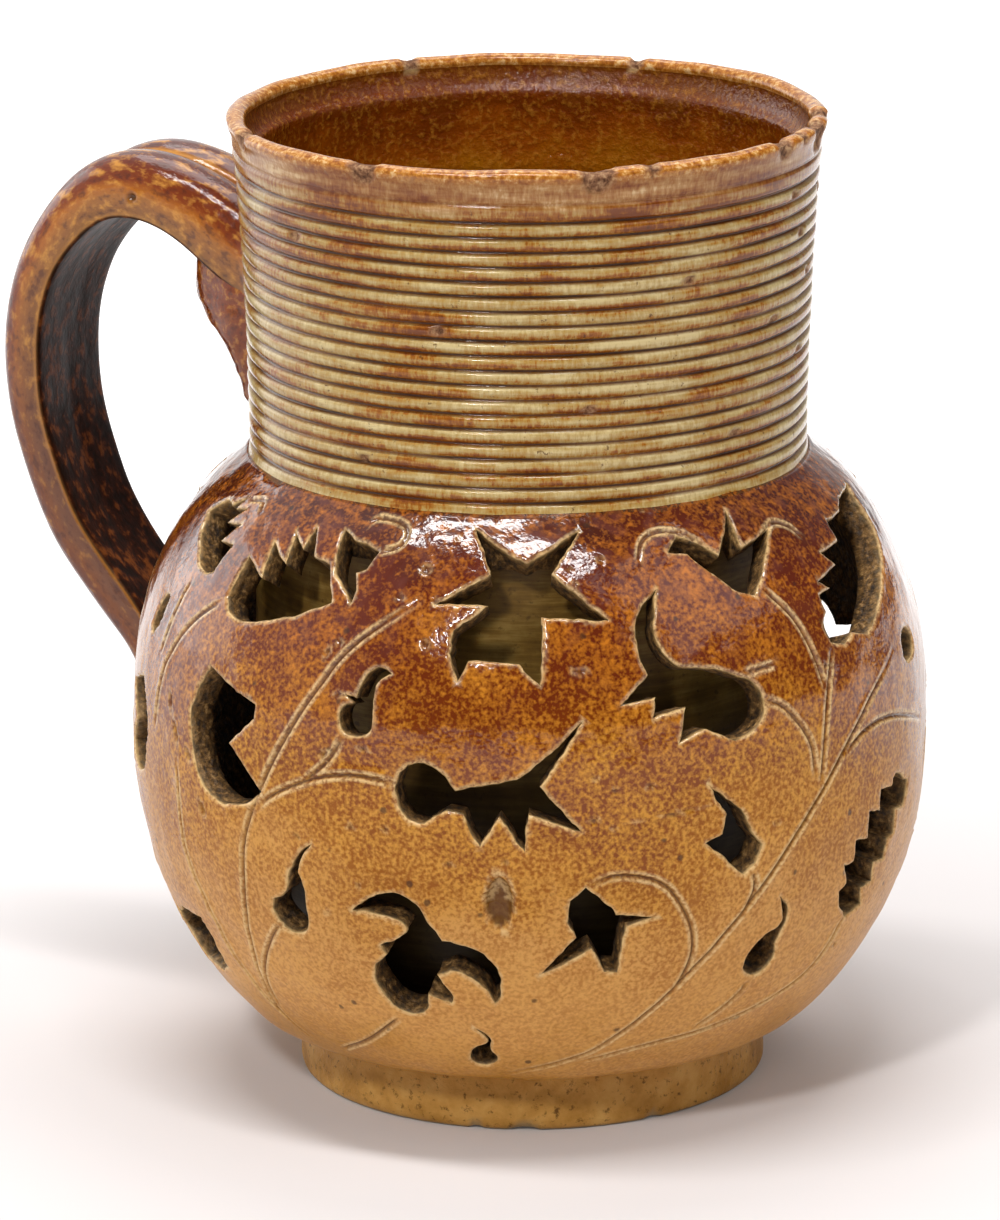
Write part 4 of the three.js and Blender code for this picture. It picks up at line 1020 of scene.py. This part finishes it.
def vesselLine():
    # profile from the underside up the outside, over the lip and down the inside, and for each
    # point 0 below the seat, 1 on the neck and lip and 2 inside
    base = vessel["base"]
    angle = np.linspace(-math.pi / 2, 0, 7)[:, None]
    heel = np.hstack([25 + 4.3 * np.cos(angle), base + 5 + 5 * np.sin(angle)])
    liner = np.stack([np.full(26, vessel["linerRadius"]), np.linspace(16.5, 68, 26)], 1)
    grooves = vessel["topGroove"] - vessel["reedPitch"] * np.arange(vessel["reeds"])[::-1]
    reeds = (grooves[:, None] + [-0.78, -0.5, -0.3, -0.15, 0, 0.15, 0.3, 0.5]).ravel()
    levels = np.concatenate([
        [vessel["seatLevel"], 68.6], reeds[reeds > vessel["seatLevel"] + 0.45],
        [100.2, 100.5, 100.8, 101.05, 101.25, 101.4, 101.55, 101.8, 102.2, 102.7, 103.1, 103.5,
         103.8]])
    neck = np.stack([neckCurve(levels), levels], 1)
    neck[-3:, 0] += [0.08, 0.2, 0.3]
    neck[:2, 0] += 0.16
    half = vessel["lipThickness"] / 2
    turn = np.linspace(0.12, 1.12, 13)[:, None] * math.pi
    lip = np.hstack([vessel["lipRadius"] - half + half * np.cos(turn),
                     104.15 + 0.85 * np.sin(turn)])
    down = np.concatenate([np.linspace(98, 66, 42), np.linspace(64, 20, 22)])
    inside = np.concatenate([
        [[29.55, 103.2], [29.4, 102.6], [29.2, 102.0], [28.9, 101.6], [28.55, 101.35],
         [28.45, 101.0], [28.5, 100.2], [28.45, 99.0]],
        np.stack([np.interp(-down, [-98, -91, -76.4, -64.4, -20],
                            [28.4, 28.2, 27.2, 26.7, 26.4]), down], 1),
        [[26.2, 18], [25.7, 16.4], [24.7, 15], [23.4, 14.1], [21.6, 13.6],
         [18, vessel["floor"]], [9, vessel["floor"]]]])
    below = np.concatenate([[[12, base], [20, base]], heel, liner])
    lengths = [len(below), len(neck) + len(lip), len(inside)]
    return np.concatenate([below, neck, lip, inside]), np.repeat([0, 1, 2], lengths)


def buildVessel():
    # the turned profile, pushed in by reeds, chips and bruises and unsettled by value noise
    line, part = vesselLine()
    points, azimuth, level, raised = turnLine(line, vessel["columns"])
    onNeck = (part == 1)[:, None]

    # reeds: a sharp groove with soft shoulders, its depth drifting round the neck
    pitch = vessel["reedPitch"]
    order = (vessel["topGroove"] - level) / pitch
    gap = np.abs(order - np.round(order)) * pitch
    reeded = (level > vessel["seatLevel"] + 0.4) & (level < vessel["topGroove"] + 0.8) & onNeck
    drifting = around(30, azimuth, 7 * np.round(order))
    force = 1 + 0.28 * unevenness(drifting, 11, 31) + 0.2 * unevenness(drifting, 4, 32)
    groove = reeded * hump(gap, 0, 0.2) * force
    # the fine line below the lip, and throwing rings on the plain parts
    lined = onNeck * hump(level, vessel["lineLevel"], 0.2)
    upright = level * [0, 0, 1]
    rings = 0.09 * unevenness(upright, 1.9, 33) + 0.05 * unevenness(upright, 0.9, 34)
    swell = 0.12 * unevenness(points, 12, 35) + 0.05 * unevenness(points, 4, 36)
    lift = (-vessel["grooveDepth"] * groove - 0.13 * reeded * hump(gap, 0, 0.5) * force
            - 0.26 * lined + rings[:, None] * np.where(onNeck, 0.25, 1)
            + swell * np.where(part == 0, 0.5, 1)[:, None])

    # the lip rises and falls, and small flakes have sprung off its edge
    nearLip = easeBetween(level, 102.6, 104.6) * (part > 0)[:, None]
    rim = around(32, azimuth[0], 0)
    waver = 0.22 * unevenness(rim, 16, 37) + 0.1 * unevenness(rim, 5, 38)
    chip = np.zeros(points.shape[:2])
    height = (104.6 - level) * np.where(part == 2, 2, 1)[:, None]
    for degrees, halfWidth, depth in vessel["chips"]:
        away = roundTo(azimuth, degrees, vessel["chipsAt"])
        flake = dent(away / halfWidth, height / (1.1 * halfWidth))
        chip = np.maximum(chip, depth * flake * (level > 101.8))
    lift -= chip * (1 + 0.4 * unevenness(points, 0.9, 39)) * 0.75
    for degrees, where in vessel["bruises"]:
        away = roundTo(azimuth, degrees, vessel["bruisesAt"])
        flake = 0.32 * onNeck * dent(away / 0.9, (level - where) / 0.55)
        lift -= flake
        chip = np.maximum(chip, flake)
    points = raised(lift)
    points[..., 2] = np.minimum(points[..., 2] + waver * nearLip, 105.6)

    points, faces = closedShell(points, [[0, 0, vessel["base"]], [0, 0, vessel["floor"]]])
    rowPart = np.repeat(part[1:], vessel["columns"])
    slots = np.concatenate([rowPart, rowPart, np.repeat([0, 2], vessel["columns"])])
    # the wash gathers on the lower half of each reed, above its groove
    stain = reeded * hump((order - np.floor(order) - 0.78) * pitch, 0, 0.3)
    across = np.ones_like(azimuth)
    return makePiece("reededVessel", points, faces, "drinking_vessel",
                     [linerClay(), neckSaltGlaze(), insideGlaze()],
                     {"groove": np.clip(groove + 0.7 * lined, 0, 1),
                      "chip": np.clip(chip / 0.22, 0, 1), "stain": stain * across,
                      "lip": easeBetween(level, 103.2, 104.4) * across}, slots)


# strap handle

handle = {
    "reach": 61.1, "archHeight": 93.1, "upperDrop": 7.2, "lowerLevel": 42.4, "tail": 12.5,
    "topWidth": 15.0, "endWidth": 10.8, "rootThickness": 8.4, "archThickness": 7.0,
    "thickness": 5.6, "tailThickness": 2.4, "rows": 320, "sides": 128,
    "blister": (-45.1, -7.3, 92.2),  # one burst blister, on the near side under the arch
    # half of the strap's outline: the groove on the back, the round of one ridge, the flank and
    # the edge of the inner face
    "outline": [(0, 0.64), (0.06, 0.86, 0.16, 0.92), (0.32, 1.04, 0.52, 1), (0.84, 0.94, 0.95, 0.5),
                (1.04, 0.05, 0.99, -0.62), (0.98, -0.86, 0.94, -0.93), (0.86, -0.98, 0.6, -0.94),
                (0, -0.9)],
    # the strap's line as shares: out from the neck and down from the arch, then back in from
    # the farthest point towards the landing and down
    "overArch": [(0.31, 0.024), (0.44, 0.002), (0.55, 0), (0.66, 0.02), (0.78, 0.078),
                 (0.915, 0.186), (0.985, 0.31), (1, 0.41)],
    "downLimb": [(0.02, 0.525), (0.13, 0.636), (0.33, 0.77), (0.64, 0.885)],
}


def strapLine():
    # smooth line through 18 points in the plane of the handle, as (out from the axis, level)
    top, far, low = handle["archHeight"], handle["reach"], handle["lowerLevel"]
    arch = float(neckCurve(top))
    reach, drop, root = far - arch, top - low, top - handle["upperDrop"]
    tailLevel = low - handle["tail"]
    belly = bellyCurve(np.array([low, tailLevel]))
    landing = belly[0] + handle["tailThickness"] + 2
    knots = np.array([
        (arch - 2, root), (arch + 0.09 * reach, root + 2.1), (arch + 0.18 * reach, root + 4.1),
        *((arch + out * reach, top - down * drop) for out, down in handle["overArch"]),
        *((far + back * (landing - far), top - down * drop) for back, down in handle["downLimb"]),
        (landing, low), (landing - 1.9, low - 5),
        (belly[1] + 0.1 + handle["tailThickness"] / 2, tailLevel)])
    line = walkLine(throughKnots(knots, 80),
                    lambda length: np.linspace(0, length, handle["rows"]))[1]
    # the bends are eased over 14 mm, with the line carried on straight past its ends
    weights = np.hanning(39) / np.hanning(39).sum()
    over = np.arange(19, 0, -1)[:, None]
    longer = np.vstack([line[0] - over * (line[1] - line[0]), line,
                        line[-1] + over[::-1] * (line[-1] - line[-2])])
    return np.stack([np.convolve(v, weights, "valid") for v in longer.T], 1)


def strapSection(sides):
    # the outline and its mirror image, resampled evenly, as (across, out) with the groove first
    half = np.vstack([drawPath(handle["outline"], 0.02), [[0, -0.9]]])
    closed = np.vstack([half, half[-2::-1] * [-1, 1]])
    return walkLine(closed, lambda length: np.linspace(0, length, sides, endpoint=False))[1].T


def restOn(points, clear):
    # pushes points that lie inside the jug's outside out to it, less the pressed-in depth clear
    radius, level = np.hypot(points[:, 0], points[:, 1]), points[:, 2]
    rows = profile["level"] > 8
    belly = np.interp(level, profile["level"][rows], profile["radius"][rows])
    outside = np.where(level > wall["neckLevel"], neckCurve(level), belly) - clear
    stretch = np.where(radius < outside, outside / np.maximum(radius, 1e-6), 1)
    return points * np.stack([stretch, stretch, np.ones(len(points))], 1), radius - outside


def buildHandle():
    # the section carried along the line: reach and level = line + out * half thickness * normal
    line = strapLine()
    along = unitRows(np.gradient(line, axis=0))
    share = np.linspace(0, 1, handle["rows"])
    root, arch, body, tail = (handle[key] for key in (
        "rootThickness", "archThickness", "thickness", "tailThickness"))
    width = handle["topWidth"] + (handle["endWidth"] - handle["topWidth"]) * share
    thickness = (arch + (root - arch) * (1 - easeBetween(share, 0, 0.15))
                 + (body - arch) * easeBetween(share, 0.2, 0.4)
                 + (tail - body) * easeBetween(share, 0.8, 1))
    across, out = strapSection(handle["sides"])
    standing = out * thickness[:, None] / 2
    beside = across * width[:, None] / 2
    points = np.stack([-line[:, :1] + standing * along[:, 1:], -beside,
                       line[:, 1:] + standing * along[:, :1]], -1)
    flat = points.reshape(-1, 3)
    # thumb marks and pulling lines: long shallow waves down the strap
    waves = np.stack([flat[:, 1] * 3, np.repeat(share * 90, handle["sides"]),
                      np.tile(out, handle["rows"]) * 4], 1)
    lift = 0.14 * unevenness(waves, 14, 41) + 0.08 * unevenness(waves, 5, 42)
    # one round blister with a rim
    blister = np.linalg.norm(flat - handle["blister"], axis=1)
    lift += 0.14 * hump(blister, 0.75, 0.25) - 0.5 * hump(blister, 0, 0.42)
    centre = np.stack([-line[:, 0], 0 * share, line[:, 1]], 1)
    outward = unitRows((points - centre[:, None]).reshape(-1, 3))
    rested, gap = restOn(flat + outward * lift[:, None], 0.25)
    # the clay is smeared out where it meets the neck and the wall
    smear = hump(np.clip(gap, 0, None), 0, 1.3) * np.where(rested[:, 2] > 70, 0.14, 0.1)
    rested[:, 1] *= 1 + smear * (1 + 0.5 * unevenness(rested, 3, 43))
    rested = restOn(rested, 0.25)[0].reshape(points.shape)
    points, faces = closedShell(rested, [rested[0].mean(0), rested[-1].mean(0)])
    # edge: the rims of the inner face and the line on the back, where the glaze runs thin, with
    # a painted highlight along them
    rim = np.maximum(0.5 * hump(np.hypot(np.abs(across) - 0.97, out + 0.8), 0, 0.06),
                     hump(across, -0.07, 0.035) * (out > 0))
    length = np.hypot(*np.diff(line, axis=0).T).sum()
    every = np.ones((handle["rows"], 1))
    return makePiece("strapHandle", points, faces, "handle", [darkSaltGlaze()], {
        "edge": rim * easeBetween(share, 0.05, 0.16)[:, None], "inner": every * (out < -0.84),
        "pit": hump(blister, 0, 0.4), "section": np.append(every * (0.5 + 0.5 * out), [0.5, 0.5]),
        "acrossStrap": beside * metre, "outOfStrap": standing * metre,
        "alongStrap": share[:, None] * length * metre + 0 * out})


# wad of clay under the upper joint

wad = {
    "centre": 29.0, "width": 14.4, "power": 3, "rows": 70, "sides": 120,
    # mm under the upper joint and how far the wad stands out there from its centre
    "outline": [(15.3, 3.4), (14.2, 4.3), (11.4, 4.8), (8.7, 5.4), (6.1, 7.2), (4.6, 9.3),
                (2.2, 10.4), (0, 10.6), (-5.1, 10.6)],
}


def buildWad():
    # rings |x / reach|^p + |y / half width|^p = 1 from the bottom up to just inside the strap
    joint, power = handle["archHeight"] - handle["upperDrop"], wad["power"]
    below, reach = np.array(wad["outline"]).T
    share = np.linspace(0, 1, wad["rows"])[:, None]
    turn = np.linspace(0, 2 * math.pi, wad["sides"], endpoint=False)[None]
    full = (np.abs(np.cos(turn)) ** power + np.abs(np.sin(turn)) ** power) ** (-1 / power)
    drop = below[0] + (below[-1] - below[0]) * share
    out = wad["centre"] + np.cos(turn) * full * np.interp(-drop, -below, reach)
    across = -np.sin(turn) * full * wad["width"] / 2 + 0 * out
    line = strapLine()
    upper = line[:, 0].argmax()
    ceiling = np.interp(out, line[:upper, 0],
                        line[:upper, 1] - 0.42 * handle["rootThickness"])
    bottom = joint - below[0]
    level = bottom + (np.minimum(joint - below[-1], ceiling) - bottom) * share
    points = np.stack([-out, across, level], -1).reshape(-1, 3)
    # finger-pressed sides, and a ragged strip where the outer edge was pinched on
    outward = unitRows(points - [-wad["centre"], 0, joint - 5])
    pinched = np.clip((np.cos(turn) * np.ones_like(share) - 0.75) / 0.25, 0, 1).ravel()
    lift = 0.25 * unevenness(points, 3.6, 51) + 0.1 * unevenness(points, 1.2, 52)
    lift += pinched * (0.3 * unevenness(points, 1.0, 53) - 0.1)
    rested = restOn(points + outward * lift[:, None], 0.3)[0].reshape(*level.shape, 3)
    points, faces = closedShell(rested, [rested[0].mean(0), rested[-1].mean(0)])
    strap = ("acrossStrap", "outOfStrap", "alongStrap")
    marks = dict(zip(strap, (points * [metre, metre, metre / 0.6]).T))
    return makePiece("jointWad", points, faces, "handle_wad", [darkSaltGlaze()], {
        "edge": 0, "inner": 0, "pit": 0, "section": np.full(len(points), 0.66),
        "burr": pinched, **marks})


# foot

foot = {
    "columns": 260, "chipsAt": 25,  # radius in mm
    # wire-cut underside, near-upright side and the face under the wall: radius, level
    "line": [(8, 0.25), (16, 0.2), (20, 0.12), (22, 0.0), (23.4, 0.0), (24.2, 0.0), (24.45, 0.04),
             (24.68, 0.16), (24.86, 0.36), (24.96, 0.62), (25.02, 1.0), (25.05, 1.5), (25.07, 2.1),
             (25.1, 2.8), (25.1, 3.5), (25.06, 4.2), (25.0, 4.9), (24.92, 5.5), (24.82, 6.1),
             (24.75, 6.5), (24.7, 6.95), (20, 6.95), (10, 6.95)],
    # chips in the lower edge: degrees from the front, half width, depth
    "chips": [(-14, 0.9, 0.25), (-2, 1.5, 0.3), (31, 0.8, 0.25), (96, 1.4, 0.4), (171, 1.8, 0.4),
              (230, 1.1, 0.3)],
}


def buildFoot():
    # the turned line, unsettled by value noise and chipped at its lower edge
    line = np.array(foot["line"])
    points, azimuth, level, raised = turnLine(line, foot["columns"])
    radius = line[:, :1]
    lift = 0.14 * unevenness(points, 7, 61) + 0.06 * unevenness(points, 2.2, 62)
    lift += 0.1 * unevenness(level * [0, 0, 1], 1.1, 63)[:, None]
    chip = np.zeros(points.shape[:2])
    for degrees, halfWidth, depth in foot["chips"]:
        flake = dent(roundTo(azimuth, degrees, foot["chipsAt"]) / halfWidth, level - 0.2)
        chip = np.maximum(chip, depth * flake * (radius > 24))
    lift = (lift * np.clip((level - 0.1) / 0.8, 0, 1) - chip) * ((radius > 23) & (level < 6.9))
    points = raised(lift)
    points[..., 2] = np.maximum(points[..., 2], 0)
    points, faces = closedShell(points, [[0, 0, foot["line"][0][1]], [0, 0, foot["line"][-1][1]]])
    return makePiece("turnedFoot", points, faces, "foot", [footClay()],
                     {"chip": np.clip(chip / 0.25, 0, 1)})


reededVessel = buildVessel()
strapHandle = buildHandle()
jointWad = buildWad()
turnedFoot = buildFoot()


# studio

studio = {
    "target": (0, 0, 0.0525), "distance": 0.797556, "elevation": 15.336, "roll": -0.311,
    "lens": 219.66, "sensor": 36, "shiftX": -0.02436, "shiftY": -0.0162,
    "darkFrom": 55,  # degrees from the front, opposite the middle of the white backdrop
    "roomShare": 0.04, "fill": 0.16,
    "paper": "#DAD5D4", "halfSheet": 2,  # metres
    # the paper's own light near the jug and far behind it
    "paperGlow": 0.04, "farGlow": 0.8,
    # name, degrees from the front, rise in degrees, distance, width and height in metres, watts
    "lamps": [("keyLamp", -21, 40, 1.5, 0.13, 0.16, 8.5),
              ("topLamp", -24, 77, 1.23, 0.8, 0.13, 10.5),
              ("backLamp", 172, 58, 1.5, 1.1, 0.8, 9), ("rightLamp", 62, 44, 1.6, 1.2, 1.0, 5),
              ("leftLamp", -118, 14, 1.5, 1.2, 0.8, 6)],
}


def shownAs(add, glossy):
    # 1 for what the camera sees straight or through glass, and a share of that in reflections
    path = add("LightPath").outputs
    mirrored = add("Math", {0: path["Is Glossy Ray"], 1: glossy}, operation="MULTIPLY")
    seen = add("Math", {0: path["Is Camera Ray"], 1: path["Is Transmission Ray"]},
               operation="MAXIMUM")
    return add("Math", {0: seen, 1: mirrored}, operation="MAXIMUM")


def paperFloor():
    # White paper sweep, matt and a little warm, so the jug's soft shadow reads mauve-grey.
    material, add, place, _ = newMaterial("white paper", "")
    matt = add("BsdfDiffuse", {"Color": studio["paper"]})
    away = add("VectorMath", {0: place}, operation="LENGTH")
    level = add("MapRange", {0: away, 1: 0.05, 2: 0.3, 3: studio["paperGlow"],
                             4: studio["farGlow"]})
    lifted = add("Math", {0: shownAs(add, 1), 1: level}, operation="MULTIPLY")
    glow = add("Emission", {"Color": "#FFFFFF", "Strength": lifted})
    add("OutputMaterial", {"Surface": add("AddShader", {0: matt, 1: glow})})
    return material


def fromJug(degrees, rise):
    # unit vector (cos r cos a, cos r sin a, sin r), with a counted from the front
    turned, raised = math.radians(frontAzimuth + degrees), math.radians(rise)
    return Vector((math.cos(raised) * math.cos(turned), math.cos(raised) * math.sin(turned),
                   math.sin(raised)))


def setUp(name, data, degrees=0, rise=0, away=None):
    # puts a thing into the scene, at the origin or away from the target and facing it
    thing = bpy.data.objects.new(name, data)
    bpy.context.scene.collection.objects.link(thing)
    if away:
        thing.location = Vector(studio["target"]) + away * fromJug(degrees, rise)
        thing.rotation_euler = (-fromJug(degrees, rise)).to_track_quat("-Z", "Y").to_euler()
    return thing


def buildFloor():
    # a square sheet with the jug in its middle
    mesh, half = bpy.data.meshes.new("floor"), studio["halfSheet"]
    mesh.from_pydata([(-half, -half, 0), (half, -half, 0), (half, half, 0), (-half, half, 0)],
                     [], [(0, 1, 2, 3)])
    mesh.materials.append(paperFloor())
    setUp("floor", mesh)


def placeCamera():
    # a pinhole at the photograph's distance and height, tilted as it was
    camera = setUp("camera", bpy.data.cameras.new("camera"), 0, studio["elevation"],
                   studio["distance"])
    facing = camera.rotation_euler.to_matrix()
    rolled = facing @ Matrix.Rotation(math.radians(studio["roll"]), 3, "Z")
    camera.rotation_euler = rolled.to_euler()
    camera.data.lens, camera.data.sensor_width = studio["lens"], studio["sensor"]
    camera.data.shift_x, camera.data.shift_y = studio["shiftX"], studio["shiftY"]
    camera.data.clip_start = 0.01
    bpy.context.scene.camera = camera


def lightStudio():
    # a small hard lamp on the left, a broad box above and behind, weak boxes on both sides
    for name, degrees, rise, away, width, height, watts in studio["lamps"]:
        lamp = setUp(name, bpy.data.lights.new(name, "AREA"), degrees, rise, away).data
        lamp.shape = "RECTANGLE"
        lamp.size, lamp.size_y, lamp.energy = width, height, watts
    world = bpy.data.worlds.new("studio")
    bpy.context.scene.world = world
    world.use_nodes = True
    world.node_tree.nodes.clear()
    add = partial(addNode, world.node_tree)
    # reflections find the white backdrop behind the jug and a dim room behind the camera
    behind = add("VectorMath", {0: add("TexCoord").outputs["Generated"],
                                1: -fromJug(studio["darkFrom"], 0)}, operation="DOT_PRODUCT")
    backdrop = add("MapRange", {0: behind, 1: 0, 2: 0.6, 3: studio["roomShare"], 4: 1})
    around, seen = (add("Background", {"Color": "#FFFFFF", "Strength": strength})
                    for strength in (studio["fill"], 1))
    add("OutputWorld", {"Surface": add("MixShader", {0: shownAs(add, backdrop), 1: around,
                                                     2: seen})})
    print("studio:", ", ".join(lamp[0] for lamp in studio["lamps"]))


buildFloor()
placeCamera()
lightStudio()
bpy.context.scene.view_settings.view_transform = "Standard"
